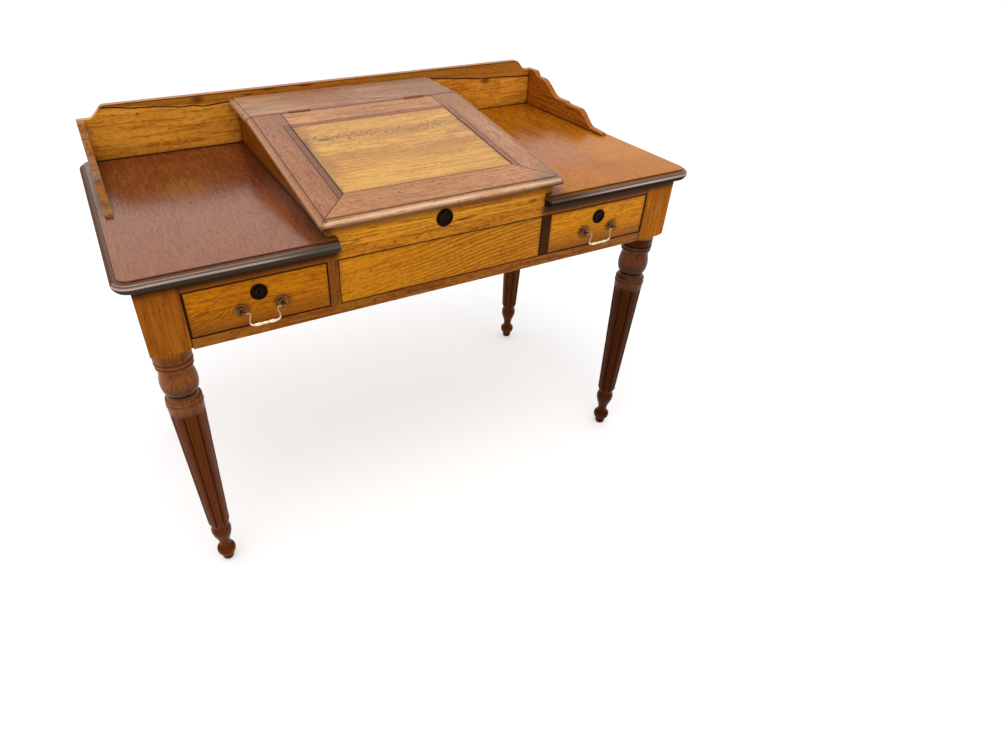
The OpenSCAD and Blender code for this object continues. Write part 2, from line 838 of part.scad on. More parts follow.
module drawer_side_pair() {
    y0 = drawer_front_y + front_t;
    color("burlywood")
    for (side = [-1, 1]) sided(side)
    difference() {
        union() {
            board([side_t, drawer_l - front_t, side_h], [drawer_w / 2 - side_t, y0, side_z]);
            translate([drawer_w / 2 - side_t, 0, 0]) tails_shape(0);
        }
        bottom_panel(joint_gap);
        drawer_back_board(joint_gap);
    }
}

// The back stands on the bottom, housed in the sides
module drawer_back_board(gap) {
    w = drawer_w - 2 * groove_d + 2 * gap;
    y = drawer_front_y + drawer_l - 2 * side_t - gap;
    z = bottom_z + bottom_t + joint_gap - gap;
    board([w, side_t + 2 * gap, side_h], [-w / 2, y, z]);
}

module drawer_back() {
    spare = 6;
    color("burlywood")
    intersection() {
        drawer_back_board(0);
        board([drawer_w, drawer_l, side_h - spare], [-drawer_w / 2, drawer_front_y, side_z]);
    }
}

// The bottom slides in grooves in the sides and the front
module bottom_panel(gap) {
    w = drawer_w - 2 * groove_d + 2 * gap;
    y = drawer_front_y + front_t - groove_d - gap;
    l = drawer_l - front_t + groove_d + gap - side_t + cut * (gap > 0 ? side_t : 0);
    board([w, l, bottom_t + 2 * gap], [-w / 2, y, bottom_z - gap]);
}

module drawer_bottom() {
    color("tan") bottom_panel(0);
}

module left_drawer_front() { in_drawer(-1) drawer_front(); }
module right_drawer_front() { in_drawer(1) drawer_front(); }
module left_drawer_sides() { in_drawer(-1) drawer_side_pair(); }
module right_drawer_sides() { in_drawer(1) drawer_side_pair(); }
module left_drawer_back() { in_drawer(-1) drawer_back(); }
module right_drawer_back() { in_drawer(1) drawer_back(); }
module left_drawer_bottom() { in_drawer(-1) drawer_bottom(); }
module right_drawer_bottom() { in_drawer(1) drawer_bottom(); }

// Locks: a case with an upright channel, and a bolt that slides in it
module keyhole(depth) {
    translate([0, -cut, 0]) rotate([-90, 0, 0]) cylinder(r = keyhole_r, h = depth + 2 * cut);
    board([key_slot_w, depth + 2 * cut, 3 * keyhole_r], [-key_slot_w / 2, -cut, -3 * keyhole_r]);
}

module lock_case(x, y, z, key) {
    difference() {
        board([case_w, case_t, case_h], [x - case_w / 2, y, z]);
        bolt_body(x, y, z + case_h - bolt_l, bolt_l + cut, bolt_gap);
        translate([x, y, key]) keyhole(case_t);
    }
}

module bolt_body(x, y, z, l, gap) {
    board([bolt_w + 2 * gap, bolt_t + 2 * gap, l + gap],
        [x - bolt_w / 2 - gap, y + (case_t - bolt_t) / 2 - gap, z - gap]);
}

module drawer_lock_pocket() {
    y = drawer_front_y + front_t - case_t;
    board([case_w + 2 * joint_gap, case_t + cut, case_h + cut + joint_gap],
        [-case_w / 2 - joint_gap, y, drawer_case_z - joint_gap]);
}

module drawer_lock() {
    color("darkgoldenrod") lock_case(0, drawer_front_y + front_t - case_t, drawer_case_z, key_z);
}

module drawer_bolt() {
    color("gold")
    bolt_body(0, drawer_front_y + front_t - case_t, drawer_case_z + case_h - bolt_l, bolt_l, 0);
}

// Mortise in the rail that takes a drawer's bolt
module bolt_mortise(z) {
    bolt_body(0, drawer_front_y + front_t - case_t, z, bolt_throw, mortise_gap);
}

module left_drawer_lock() { in_drawer(-1) drawer_lock(); }
module right_drawer_lock() { in_drawer(1) drawer_lock(); }
module left_lock_bolt() { in_drawer(-1) drawer_bolt(); }
module right_lock_bolt() { in_drawer(1) drawer_bolt(); }

module lid_lock_pocket() {
    y = box_front_back_y - case_t;
    board([case_w + 2 * joint_gap, case_t + cut, case_h + joint_gap + bolt_l],
        [lid_key_x - case_w / 2 - joint_gap, y, lid_case_z - joint_gap]);
}

module lid_lock_case() {
    color("darkgoldenrod") lock_case(lid_key_x, box_front_back_y - case_t, lid_case_z, lid_key_z);
}

module lid_lock_bolt() {
    color("gold")
    bolt_body(lid_key_x, box_front_back_y - case_t, lid_case_z + case_h - bolt_l, bolt_l, 0);
}

// Turned escutcheon: a low boss with a rounded rim and a keyhole
module escutcheon(r) {
    depth = escutcheon_t;
    difference() {
        rotate([90, 0, 0])
        rotate_extrude()
        polygon(concat(
            [[0, 0], [r, 0], [r, depth * 0.3]],
            quarter([r, depth * 0.3], [r - 3, depth], 5),
            [[r - 4, depth], [r - 5, depth * 0.6], [r - 6, depth * 0.5]],
            [[r - 6.5, depth * 0.6], [r - 7.5, depth * 0.6], [r - 8.5, depth * 0.4], [0, depth * 0.4]]
        ));
        translate([0, -depth, 0]) keyhole(depth);
    }
}

module drawer_escutcheon() {
    color([0.2, 0.12, 0.08]) translate([0, drawer_front_y, key_z]) escutcheon(escutcheon_r);
}

module left_drawer_escutcheon() { in_drawer(-1) drawer_escutcheon(); }
module right_drawer_escutcheon() { in_drawer(1) drawer_escutcheon(); }

module lid_escutcheon() {
    color([0.2, 0.12, 0.08]) translate([lid_key_x, front_y, lid_key_z]) escutcheon(lid_escutcheon_r);
}

// Handles: two stepped rosettes, two posts with a ball end, and a bail
pivot_y = drawer_front_y - pivot_reach;
nut_r = 5;
nut_t = 3;

module handle_holes() {
    for (side = [-1, 1])
        translate([side * handle_c / 2, drawer_front_y - cut, handle_z])
        rotate([-90, 0, 0]) cylinder(r = post_r - 1 + joint_gap, h = front_t + 2 * cut);
}

module handle_post() {
    ball_z = pivot_reach;
    difference() {
        union() {
            rotate([90, 0, 0])
            rotate_extrude()
            polygon(concat(
                [[0, 0], [rosette_r, 0], [rosette_r, rosette_t * 0.3]],
                quarter([rosette_r, rosette_t * 0.3], [rosette_r - 2.5, rosette_t * 0.55], 4),
                [[rosette_r - 4, rosette_t * 0.55], [rosette_r - 4.5, rosette_t * 0.8]],
                quarter([rosette_r - 5, rosette_t * 0.8], [post_r + 1.5, rosette_t], 4),
                [[post_r + 1, rosette_t], [post_r, rosette_t + 1.5]],
                [[post_r, ball_z - post_ball_r * 0.8]],
                round_member([post_r + 0.2, ball_z - post_ball_r * 0.8], [post_r - 1.5, ball_z + post_ball_r],
                    post_ball_r - post_r + 0.8, 8),
                [[0, ball_z + post_ball_r]]
            ));
            translate([0, -cut, 0]) rotate([-90, 0, 0])
                cylinder(r = post_r - 1, h = cut + front_t + nut_t + 1);
        }
        translate([-post_ball_r - cut, -ball_z, 0]) rotate([0, 90, 0])
            cylinder(r = pivot_r + pin_gap, h = 2 * (post_ball_r + cut));
    }
}

module handle_nut() {
    difference() {
        translate([0, front_t, 0]) rotate([-90, 0, 0]) cylinder(r = nut_r, h = nut_t, $fn = 6);
        translate([0, front_t - cut, 0]) rotate([-90, 0, 0])
            cylinder(r = post_r - 1 + pin_gap, h = nut_t + 2 * cut);
    }
}

module handle_posts() {
    color("darkgoldenrod")
    for (side = [-1, 1])
        translate([side * handle_c / 2, drawer_front_y, handle_z]) {
            handle_post();
            handle_nut();
        }
}

module left_handle_posts() { in_drawer(-1) handle_posts(); }
module right_handle_posts() { in_drawer(1) handle_posts(); }

// Half of the bail: the pivot runs in, turns down, swells out and turns in to the grip
module half_bail() {
    pivot_out = handle_c / 2 + post_ball_r - 0.5;
    pivot_in = handle_c / 2 - post_ball_r - bail_r - 0.5;
    sway = 2 * atan(bail_sway / (bail_drop - bail_shoulder - bail_elbow));
    sway_r = bail_sway / (2 * (1 - cos(sway)));
    rotate([0, -90, 0]) {
        translate([0, 0, -pivot_out]) cylinder(r = pivot_r, h = pivot_out - pivot_in);
        mirror([1, 0, 0]) translate([0, 0, -pivot_in])
            straight(pivot_in - bail_w / 2 - bail_shoulder)
            bend(bail_shoulder, 90)
            bend(sway_r, sway)
            mirror([1, 0, 0]) bend(sway_r, sway)
            bend(bail_elbow, 90)
            straight(1);
    }
}

// A round bar that grows along Z; a slightly larger ball joins it to the piece before
module straight(l) {
    sphere(r = bail_r + 0.06, $fn = 24);
    cylinder(r = bail_r, h = l);
    translate([0, 0, l]) children();
}

// The bar turns towards +X through an angle
module bend(r, a) {
    sphere(r = bail_r + 0.06, $fn = 24);
    translate([r, 0, 0])
    rotate([90, 0, 180])
    rotate_extrude(angle = a) translate([r, 0]) circle(r = bail_r, $fn = 24);
    translate([r - r * cos(a), 0, r * sin(a)]) rotate([0, a, 0]) children();
}

// Turned grip: two long swellings and a short one between small steps
module grip() {
    half = bail_w / 2 + bail_sway - bail_elbow;
    mid = half * 0.3;
    step = 0.5;
    translate([0, 0, -bail_drop])
    rotate([0, 90, 0])
    rotate_extrude()
    polygon(concat(
        [[0, -half], [bail_r + 0.2, -half]],
        bow([bail_r + 0.4, -half], [bail_r + 0.8, -mid], grip_r - bail_r - 0.4, 6),
        [[bail_r + 0.2, -mid], [bail_r + 0.2, -mid + step]],
        bow([bail_r + 0.4, -mid + step], [bail_r + 0.4, mid - step], grip_r - bail_r - 0.8, 4),
        [[bail_r + 0.2, mid - step], [bail_r + 0.2, mid]],
        bow([bail_r + 0.8, mid], [bail_r + 0.4, half], grip_r - bail_r - 0.4, 6),
        [[bail_r + 0.2, half], [0, half]]
    ));
}

module bail() {
    color("gold")
    translate([0, pivot_y, handle_z]) {
        for (side = [-1, 1]) sided(side) half_bail();
        grip();
    }
}

module left_bail() { in_drawer(-1) bail(); }
module right_bail() { in_drawer(1) bail(); }

// Lid: outlines are [x, distance down the slope]
foot_s = lid_l - lid_foot_w;
panel_s = lid_rail_w + bead_w;
stile_in = lid_half - stile_w;
mitre_run = lid_foot_w / stile_w;

module lid_board(points, low, high) {
    in_lid() mirror([0, 1, 0]) translate([0, 0, low]) linear_extrude(height = high - low) polygon(points);
}

module lid_stile(side) {
    bead_s = lid_rail_w - joint_gap;
    bead_x = stile_in + bead_w + joint_gap;
    color("rosybrown")
    sided(side)
    difference() {
        union() {
            lid_board([[stile_in, hinge_gap], [lid_half, hinge_gap], [lid_half, lid_l],
                [stile_in, foot_s]], -lid_t, 0);
            lid_board([[stile_in - panel_lap, panel_s], [stile_in, panel_s], [stile_in, foot_s],
                [stile_in - panel_lap, foot_s]], -lid_t, -lid_panel_t - joint_gap);
        }
        lid_board([[stile_in - cut, bead_s], [bead_x, bead_s],
            [bead_x, foot_s + (bead_x - stile_in) * mitre_run],
            [stile_in - cut, foot_s - cut * mitre_run]], -bead_t - joint_gap, cut);
    }
}

module lid_left_stile() { lid_stile(-1); }
module lid_right_stile() { lid_stile(1); }

module lid_top_rail() {
    w = stile_in - joint_gap;
    color("burlywood")
    difference() {
        lid_board([[-w, hinge_gap], [w, hinge_gap], [w, panel_s], [-w, panel_s]], -lid_t, 0);
        lid_board([[-w - cut, lid_rail_w - joint_gap], [w + cut, lid_rail_w - joint_gap],
            [w + cut, panel_s + cut], [-w - cut, panel_s + cut]], -bead_t - joint_gap, cut);
        in_lid() hinge_recess(-1);
    }
}

module lid_bottom_rail() {
    g = joint_gap;
    color("rosybrown")
    difference() {
        lid_board([[-stile_in + g, foot_s], [stile_in - g, foot_s], [lid_half - g, lid_l],
            [-lid_half + g, lid_l]], -lid_t, 0);
        strike_recess(joint_gap);
        lid_bolt_mortise();
    }
}

module lid_panel() {
    w = stile_in - panel_gap;
    near = foot_s - joint_gap;
    far = panel_s + panel_gap;
    color("khaki")
    lid_board([[-w, far], [w, far], [w, near], [-w, near]], -lid_panel_t, 0);
}

module lid_beads() {
    x = stile_in;
    g = joint_gap;
    color("sienna") {
        for (side = [-1, 1]) sided(side)
            lid_board([[x, lid_rail_w], [x + bead_w, lid_rail_w],
                [x + bead_w, foot_s + bead_w * mitre_run - g], [x, foot_s - g]], -bead_t, 0);
        lid_board([[-x + g, lid_rail_w], [x - g, lid_rail_w], [x - g, panel_s], [-x + g, panel_s]],
            -bead_t, 0);
    }
}

// Three strips, mitred at the front corners
module lid_moulding() {
    reach = lid_half + lid_nose;
    color("rosybrown")
    intersection() {
        union() {
            for (side = [-1, 1]) sided(side) difference() {
                in_lid() translate([lid_half, -hinge_gap, 0]) nose_strip(lid_l + lid_nose - hinge_gap);
                mitre_waste(1);
            }
            difference() {
                in_lid() translate([-reach, -lid_l, 0]) rotate([0, 0, -90]) nose_strip_along(2 * reach);
                for (side = [-1, 1]) sided(side) mitre_waste(-1);
            }
        }
        lid_outline();
    }
}

module nose_strip_along(length) {
    mirror([0, 1, 0]) nose_strip(length);
}

// The half of the corner on the far side of the mitre from a strip
module mitre_waste(way) {
    b = 4 * lid_nose;
    g = joint_gap / 2;
    lid_board(way > 0
        ? [[lid_half - b, lid_l - b - g], [lid_half + b, lid_l + b - g], [lid_half - b, lid_l + b - g]]
        : [[lid_half - b, lid_l - b + g], [lid_half + b, lid_l + b + g], [lid_half + b, lid_l - b + g]],
        -2 * lid_t, lid_t);
}

module lid_outline() {
    x = lid_half + lid_nose;
    s = lid_l + lid_nose;
    r = lid_corner_r;
    in_lid() translate([0, 0, -2 * lid_t]) {
        board([2 * x, s - r, 3 * lid_t], [-x, -s + r, 0]);
        board([2 * (x - r), s, 3 * lid_t], [-x + r, -s, 0]);
        for (side = [-1, 1]) translate([side * (x - r), -s + r, 0]) cylinder(r = r, h = 3 * lid_t);
    }
}

// Strike plate under the lid, and the mortise behind it
strike_w = 44;
strike_d = 15;
strike_t = 1.5;

// Distance down the slope of the bolt's middle
function bolt_s() =
    (hinge_y - box_front_back_y + case_t / 2) / cos(lid_slope) + lid_t * tan(lid_slope);

module strike_recess(gap) {
    in_lid()
    board([strike_w + 2 * gap, strike_d + 2 * gap, strike_t + gap + (gap > 0 ? cut : 0)],
        [lid_key_x - strike_w / 2 - gap, -bolt_s() - strike_d / 2 - gap, gap > 0 ? -lid_t - cut : -lid_t]);
}

module lid_bolt_mortise() {
    g = mortise_gap;
    in_lid()
    board([bolt_w + 2 * g, bolt_t + 4 * g, lid_t / 2 + 2 * cut],
        [lid_key_x - bolt_w / 2 - g, -bolt_s() - bolt_t / 2 - 2 * g, -lid_t - cut]);
}

module lid_strike() {
    color("darkgoldenrod")
    difference() {
        strike_recess(0);
        lid_bolt_mortise();
    }
}

// Butt hinges, in the lid's frame with the pin on the X axis
knuckles = 5;
knuckle_gap = 0.3;

module knuckle_row(start, gap) {
    pitch = hinge_l / knuckles;
    for (i = [start : 2 : knuckles - 1])
        translate([i * pitch - hinge_l / 2 + knuckle_gap / 2 - gap, 0, 0]) children(0);
}

module hinge_leaf(way, start) {
    pitch = hinge_l / knuckles;
    w = pitch - knuckle_gap;
    y = 0.1;
    top = -knuckle_r - 0.4;
    difference() {
        union() {
            leaf_plate(way, y, top);
            knuckle_row(start, 0) {
                union() {
                    rotate([0, 90, 0]) cylinder(r = knuckle_r, h = w);
                    board([w, leaf_t, -top + 0.5], [0, way > 0 ? y : -y - leaf_t, top - 0.5]);
                }
            }
        }
        translate([-hinge_l, 0, 0]) rotate([0, 90, 0]) cylinder(r = hinge_pin_r + pin_gap, h = 2 * hinge_l);
        screw_places() translate([0, way * y, 0]) rotate([way > 0 ? -90 : 90, 0, 0]) hinge_screw(pin_gap);
    }
    screw_places() translate([0, way * y, 0]) rotate([way > 0 ? -90 : 90, 0, 0]) hinge_screw(0);
}

module leaf_plate(way, y, top) {
    board([hinge_l, leaf_t, leaf_h], [-hinge_l / 2, way > 0 ? y : -y - leaf_t, top - leaf_h]);
}

module screw_places() {
    for (x = [-0.36, 0, 0.36]) translate([x * hinge_l, 0, -knuckle_r - leaf_h / 2]) children();
}

// Countersunk screw along Z from the leaf's face
module hinge_screw(gap) {
    head = screw_r * 2;
    rotate_extrude()
    polygon([
        [0, 0], [head + gap, 0], [head + gap, 0.3], [screw_r + gap, leaf_t],
        [screw_r + gap, screw_l + gap], [0, screw_l + gap]
    ]);
}

// Room for both leaves, knuckles and screws; way is 1 for the fixed board
module hinge_recess(way) {
    y = 0.1;
    g = joint_gap;
    l = hinge_l + 2 * g;
    for (side = [-1, 1]) translate([side * hinge_x, 0, 0]) {
        board([l, leaf_t + y + g + cut, leaf_h + knuckle_r + 2 * g + 0.4],
            [-l / 2, way > 0 ? -cut : -leaf_t - y - g, -knuckle_r - 0.4 - leaf_h - g]);
        translate([-l / 2, 0, 0]) rotate([0, 90, 0]) cylinder(r = knuckle_r + 2 * g, h = l);
        screw_places() rotate([way > 0 ? -90 : 90, 0, 0]) cylinder(r = screw_r + pin_gap, h = screw_l + 1);
    }
}

module fixed_hinge_leaves() {
    color("darkgoldenrod")
    in_lid() for (side = [-1, 1]) translate([side * hinge_x, 0, 0]) hinge_leaf(1, 0);
}

module lid_hinge_leaves() {
    color("darkgoldenrod")
    in_lid() for (side = [-1, 1]) translate([side * hinge_x, 0, 0]) hinge_leaf(-1, 1);
}

module hinge_pins() {
    color("gold")
    in_lid() for (side = [-1, 1]) translate([side * hinge_x - hinge_l / 2, 0, 0])
        rotate([0, 90, 0]) cylinder(r = hinge_pin_r, h = hinge_l);
}

front_left_leg();
front_right_leg();
rear_left_leg();
rear_right_leg();
top_rail();
lower_rail();
center_panel();
left_divider();
right_divider();
left_apron();
right_apron();
rear_apron();
left_partition();
right_partition();
well_bottom();
left_wing();
right_wing();
left_box_side();
right_box_side();
box_front();
box_back();
hinge_board();
gallery_back();
gallery_left_side();
gallery_right_side();
drawer_runners();
drawer_kickers();
drawer_stops();
fixed_hinge_leaves();
hinge_pins();
lid_lock_case();
lid_escutcheon();
lid_left_stile();
lid_right_stile();
lid_top_rail();
lid_bottom_rail();
lid_panel();
lid_beads();
lid_moulding();
lid_hinge_leaves();
lid_strike();
lid_lock_bolt();
left_drawer_front();
left_drawer_sides();
left_drawer_back();
left_drawer_bottom();
left_drawer_lock();
left_drawer_escutcheon();
left_handle_posts();
left_bail();
left_lock_bolt();
right_drawer_front();
right_drawer_sides();
right_drawer_back();
right_drawer_bottom();
right_drawer_lock();
right_drawer_escutcheon();
right_handle_posts();
right_bail();
right_lock_bolt();
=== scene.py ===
# %% [markdown]
# # A plantation desk
# This lesson dresses a finished set of solids: every board, turned leg, lock and handle of the
# desk comes from the drawing office in its right place. Our job is the look of the wood and the
# metal. Each step first says what the real thing is, how it could be made in Blender, and why
# it is made the way that follows.

# %% The frame
import json
import math

import bpy
from mathutils import Euler, Matrix, Vector


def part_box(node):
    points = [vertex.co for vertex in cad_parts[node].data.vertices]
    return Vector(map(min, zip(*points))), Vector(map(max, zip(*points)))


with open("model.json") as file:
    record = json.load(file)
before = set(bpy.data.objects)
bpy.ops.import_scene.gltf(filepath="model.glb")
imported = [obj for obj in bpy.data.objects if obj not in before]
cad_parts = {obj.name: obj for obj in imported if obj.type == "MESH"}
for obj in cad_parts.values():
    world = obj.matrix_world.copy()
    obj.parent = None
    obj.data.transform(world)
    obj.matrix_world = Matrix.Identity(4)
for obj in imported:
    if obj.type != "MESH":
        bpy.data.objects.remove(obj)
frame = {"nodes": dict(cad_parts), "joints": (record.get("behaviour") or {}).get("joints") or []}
bpy.context.view_layer.update()

# %% [markdown]
# ## The camera
# The desk is seen from the front left, from standing height, with a wide phone-like lens. The
# picture is a part of a larger one, so the middle of the lens isn't the middle of the picture:
# a small shift of the camera says so. A camera that looks at an empty would need less code, but
# a heading, a tilt and a roll say plainly how the camera was held.

# %% Camera
PICTURE_W, PICTURE_H = 1008, 756
FOCAL_PX = 662.3
LENS_CENTRE = (435.3, 388.7)
EYE = Vector((-0.5802, -1.3639, 1.2705))
HEADING, TILT, ROLL = (math.radians(a) for a in (27.626, -37.678, 0.652))

ahead = Vector((math.sin(HEADING) * math.cos(TILT), math.cos(HEADING) * math.cos(TILT),
                math.sin(TILT)))
level_right = Vector((math.cos(HEADING), -math.sin(HEADING), 0))
level_up = level_right.cross(ahead)
right = level_right * math.cos(ROLL) + level_up * math.sin(ROLL)
up = level_up * math.cos(ROLL) - level_right * math.sin(ROLL)

camera = bpy.data.objects.new("camera", bpy.data.cameras.new("camera"))
bpy.context.scene.collection.objects.link(camera)
camera.data.sensor_width = 36
camera.data.lens = FOCAL_PX * camera.data.sensor_width / PICTURE_W
camera.data.shift_x = (PICTURE_W / 2 - LENS_CENTRE[0]) / PICTURE_W
camera.data.shift_y = (LENS_CENTRE[1] - PICTURE_H / 2) / PICTURE_W
camera.matrix_world = Matrix.Translation(EYE) @ Matrix((right, up, -ahead)).transposed().to_4x4()
bpy.context.scene.camera = camera
print("lens", round(camera.data.lens, 2), "mm, eye", round(EYE.z, 2), "m above the floor")

# %% [markdown]
# ## Shader sums as plain Python
# A finish is a sum of grain, flecks, dirt and wear. Drawn as nodes by hand such sums get long
# and hard to read. One small class wraps a socket and turns `+`, `-`, `*` and the rest into Math
# nodes, so that a finish reads like the formula that it is.

# %% Socket
class Socket:
    def __init__(self, owner, link):
        self.owner, self.link = owner, link

    def math(self, operation, other=None, first=None, clamp=False):
        a, b = (self, other) if first is None else (first, self)
        sockets = {0: a} if b is None else {0: a, 1: b}
        return self.owner.node("ShaderNodeMath", {"operation": operation, "use_clamp": clamp}, sockets)

    def __add__(self, other):
        return self.math("ADD", other)

    def __radd__(self, other):
        return self.math("ADD", first=other)

    def __sub__(self, other):
        return self.math("SUBTRACT", other)

    def __rsub__(self, other):
        return self.math("SUBTRACT", first=other)

    def __mul__(self, other):
        return self.math("MULTIPLY", other)

    def __rmul__(self, other):
        return self.math("MULTIPLY", first=other)

    def __truediv__(self, other):
        return self.math("DIVIDE", other)

    def __pow__(self, other):
        return self.math("POWER", other)

    def __abs__(self):
        return self.math("ABSOLUTE")

    def within(self):
        """The value, held between 0 and 1."""
        return self.math("ADD", 0, clamp=True)

    def least(self, other):
        return self.math("MINIMUM", other)

    def most(self, other):
        return self.math("MAXIMUM", other)

    def root(self):
        return self.math("SQRT")

    def fraction(self):
        return self.math("FRACT")

    def rise(self, start, end):
        """0 up to start, 1 from end on, with a soft climb between."""
        sockets = {"Value": self, "From Min": start, "From Max": end}
        return self.owner.node("ShaderNodeMapRange", {"interpolation_type": "SMOOTHSTEP"}, sockets)

    def between(self, start, end, soft):
        """1 from start to end, with a soft border on both sides."""
        return self.rise(start - soft, start + soft) * (1 - self.rise(end - soft, end + soft))


# %% [markdown]
# ## Node trees
# The world, the floor and each finish are node trees. One method makes any node from its type,
# its settings and its sockets. The settings go first, because some of them change which sockets
# the node has. The rays that look straight at a thing are told from those that only bring light,
# which the background needs later on.

# %% Tree
class Tree:
    def __init__(self, tree):
        self.tree = tree

    def node(self, kind, settings, sockets, out=0):
        made = self.tree.nodes.new(kind)
        for key, value in settings.items():
            setattr(made, key, value)
        for key, value in sockets.items():
            self.join(made.inputs[key], value)
        return Socket(self, made.outputs[out]) if made.outputs else None

    def join(self, target, value):
        if isinstance(value, Socket):
            self.tree.links.new(value.link, target)
        else:
            target.default_value = value

    def seen_directly(self):
        """1 for a ray of the camera, of a mirror or through glass, 0 for one that only brings light."""
        camera_ray, mirror_ray, glass_ray = (
            self.node("ShaderNodeLightPath", {}, {}, name)
            for name in ("Is Camera Ray", "Is Glossy Ray", "Is Transmission Ray"))
        return camera_ray.most(mirror_ray).most(glass_ray)


# %% [markdown]
# ## A finish
# A finish is the node tree of one material. Its coordinates are those of the object itself, in
# metres, because the grain belongs to the board and moves with it when a drawer slides out.
# Ambient occlusion finds a narrow corner from outside and a sharp edge from inside the solid.
# Each could be painted by hand, but not on sixty pieces.

# %% Finish
X, Y, Z = 0, 1, 2


class Finish(Tree):
    def __init__(self, name):
        self.material = bpy.data.materials.new(name)
        self.material.use_nodes = True
        super().__init__(self.material.node_tree)
        self.shader = self.tree.nodes["Principled BSDF"]
        self.place = self.node("ShaderNodeTexCoord", {}, {}, "Object")

    def give(self, **sockets):
        """Set the shader's sockets, with _ for each space in a name."""
        for key, value in sockets.items():
            self.join(self.shader.inputs[key.replace("_", " ")], value)
        return self.material

    def mix(self, share, first, second):
        return self.node("ShaderNodeMix", {"data_type": "RGBA"}, {0: share, 6: first, 7: second}, 2)

    def moved(self, vector, shift):
        return self.node("ShaderNodeVectorMath", {"operation": "ADD"}, {0: vector, 1: shift})

    def stretched(self, vector, factors):
        return self.node("ShaderNodeVectorMath", {"operation": "MULTIPLY"}, {0: vector, 1: factors})

    def axes(self, vector):
        made = self.node("ShaderNodeSeparateXYZ", {}, {0: vector})
        return [Socket(self, s) for s in made.link.node.outputs]

    def noise(self, vector, scale=1.0, detail=2.0, roughness=0.5):
        sockets = {"Vector": vector, "Scale": scale, "Detail": detail, "Roughness": roughness}
        return self.node("ShaderNodeTexNoise", {}, sockets)

    def corners(self, reach, inside=False):
        """Towards 1 in a corner narrower than the reach or, from inside, on a sharp edge."""
        settings = {"samples": 6, "inside": inside}
        return 1 - self.node("ShaderNodeAmbientOcclusion", settings, {"Distance": reach}, "AO")

    def bump(self, height, depth, strength):
        sockets = {"Height": height, "Distance": depth, "Strength": strength}
        return self.node("ShaderNodeBump", {}, sockets)


# %% [markdown]
# ## Tones of a wood
# One wood shows five tones, from varnish that caught the light to old dirt, whose tone also gives
# the painted shade in corners. They could be picked one by one for each board, but then boards of
# one desk drift apart. Here each tone is the main colour times fixed shares, and the dark ones keep
# more red than blue, as old pine does.

# %% Tones
TONE_SHARES = {
    "pale": (1.13, 1.20, 1.40), "mid": (1, 1, 1), "late": (0.76, 0.58, 0.42),
    "pit": (0.44, 0.25, 0.18), "dirt_and_shade": (0.20, 0.09, 0.08),
}


def linear(value):
    """One channel of a screen colour, 0 to 1, as Blender's linear value."""
    return ((value + 0.055) / 1.055) ** 2.4 if value > 0.0404 else value / 12.92


def colour(red, green, blue, share=1.0):
    """A colour picked on the screen, 0 to 255, darker or paler by the share."""
    return tuple(linear(min(255, c * share) / 255) for c in (red, green, blue)) + (1,)


def tones(*main):
    """The five tones of one wood round its main colour."""
    return {name: colour(*(c * s for c, s in zip(main, shares))) for name, shares in TONE_SHARES.items()}


# %% [markdown]
# ## What all the wood shares
# A board is a slice of a log. Its growth rings are tubes round the log's heart, so the lines on
# its face are cuts through tubes, and no painted stripe looks as natural as computing them. The
# heart line runs along the board a little off its face and slightly askew, which gives the long
# pointed arches of flat-sawn pine. A board sawn across the run of the log gets its grain at a
# slope. Fibres, pits, blotches and dirt come on top, each from a noise stretched along the grain,
# with painted shade in narrow corners and a painted highlight on worn edges.

# %% Grain
SEED_STEP = (1.37, 2.11, 0.73)


def along(grain, lengthwise, across):
    """Stretch factors: one value along the grain, another across it."""
    return tuple(lengthwise if axis == grain else across for axis in (X, Y, Z))


class Grain(Finish):
    def __init__(self, node, grain, seed, heart=None, skew=0.03, ring=0.0045, slope=0.0):
        super().__init__("wood_" + node)
        self.grain = grain
        self.low, self.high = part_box(node)
        size = self.high - self.low
        self.thin = min((X, Y, Z), key=lambda axis: size[axis])
        self.narrow = sorted(size)[1]
        self.parts = self.axes(self.place)
        self.x, self.y, self.z = self.parts
        laid = self.laid(slope)
        self.own = self.moved(laid, [seed * step for step in SEED_STEP])
        self.rings = self.growth(laid, heart, skew, ring)
        self.streaks = self.fibres(10, 210, 4, 0.6)
        self.mottle = self.fibres(80, 290, 3, 0.65)
        self.blotches = self.fibres(3.5, 11, 4, 0.6)
        self.pits = self.fibres(80, 300).rise(0.60, 0.70)
        # Darker in every corner narrower than 14 mm: dirt, and painted shade
        self.dirt_and_shade = self.corners(0.014).rise(0.25, 0.85) * (0.7 + self.blotches * 0.5)
        # Paler on sharp edges: wear, and a painted highlight
        worn = self.noise(self.own, 55, 3).rise(0.35, 0.6)
        self.arris_wear_and_highlight = self.corners(0.003, inside=True).rise(0.35, 0.75) * worn

    def laid(self, slope):
        """The object's coordinates, turned by the slope of the grain in the board's face."""
        middle = (self.low + self.high) / 2
        turn = Euler([slope if axis == self.thin else 0 for axis in (X, Y, Z)])
        shift = middle - turn.to_matrix() @ middle
        sockets = {"Vector": self.place, "Location": shift, "Rotation": turn}
        return self.node("ShaderNodeMapping", {}, sockets)

    def fibres(self, lengthwise, across, detail=2.0, roughness=0.5, grain=None):
        """A noise with one scale along the grain and another across it."""
        factors = along(self.grain if grain is None else grain, lengthwise, across)
        return self.noise(self.stretched(self.own, factors), 1, detail, roughness)

    def growth(self, laid, heart, skew, ring):
        """The dark late wood of growth rings round the heart line, one ring apart."""
        middle = (self.low + self.high) / 2
        side, rise = (middle[axis] for axis in (X, Y, Z) if axis != self.grain)
        parts = self.axes(laid)
        run = parts.pop(self.grain)
        a, b = (part - at - run * skew * lean
                for part, at, lean in zip(parts, heart or (side + 0.05, rise + 0.03), (0.6, 1.6)))
        bend = self.fibres(2.2, 9, 3) * 0.035
        waver = self.fibres(26, 60) * 0.003
        radius = (a * a + b * b).root() + bend + waver
        late = (radius / ring + self.noise(self.own, 9, 1)).fraction()
        return late ** 2 * (1 - late.rise(0.88, 1.0))


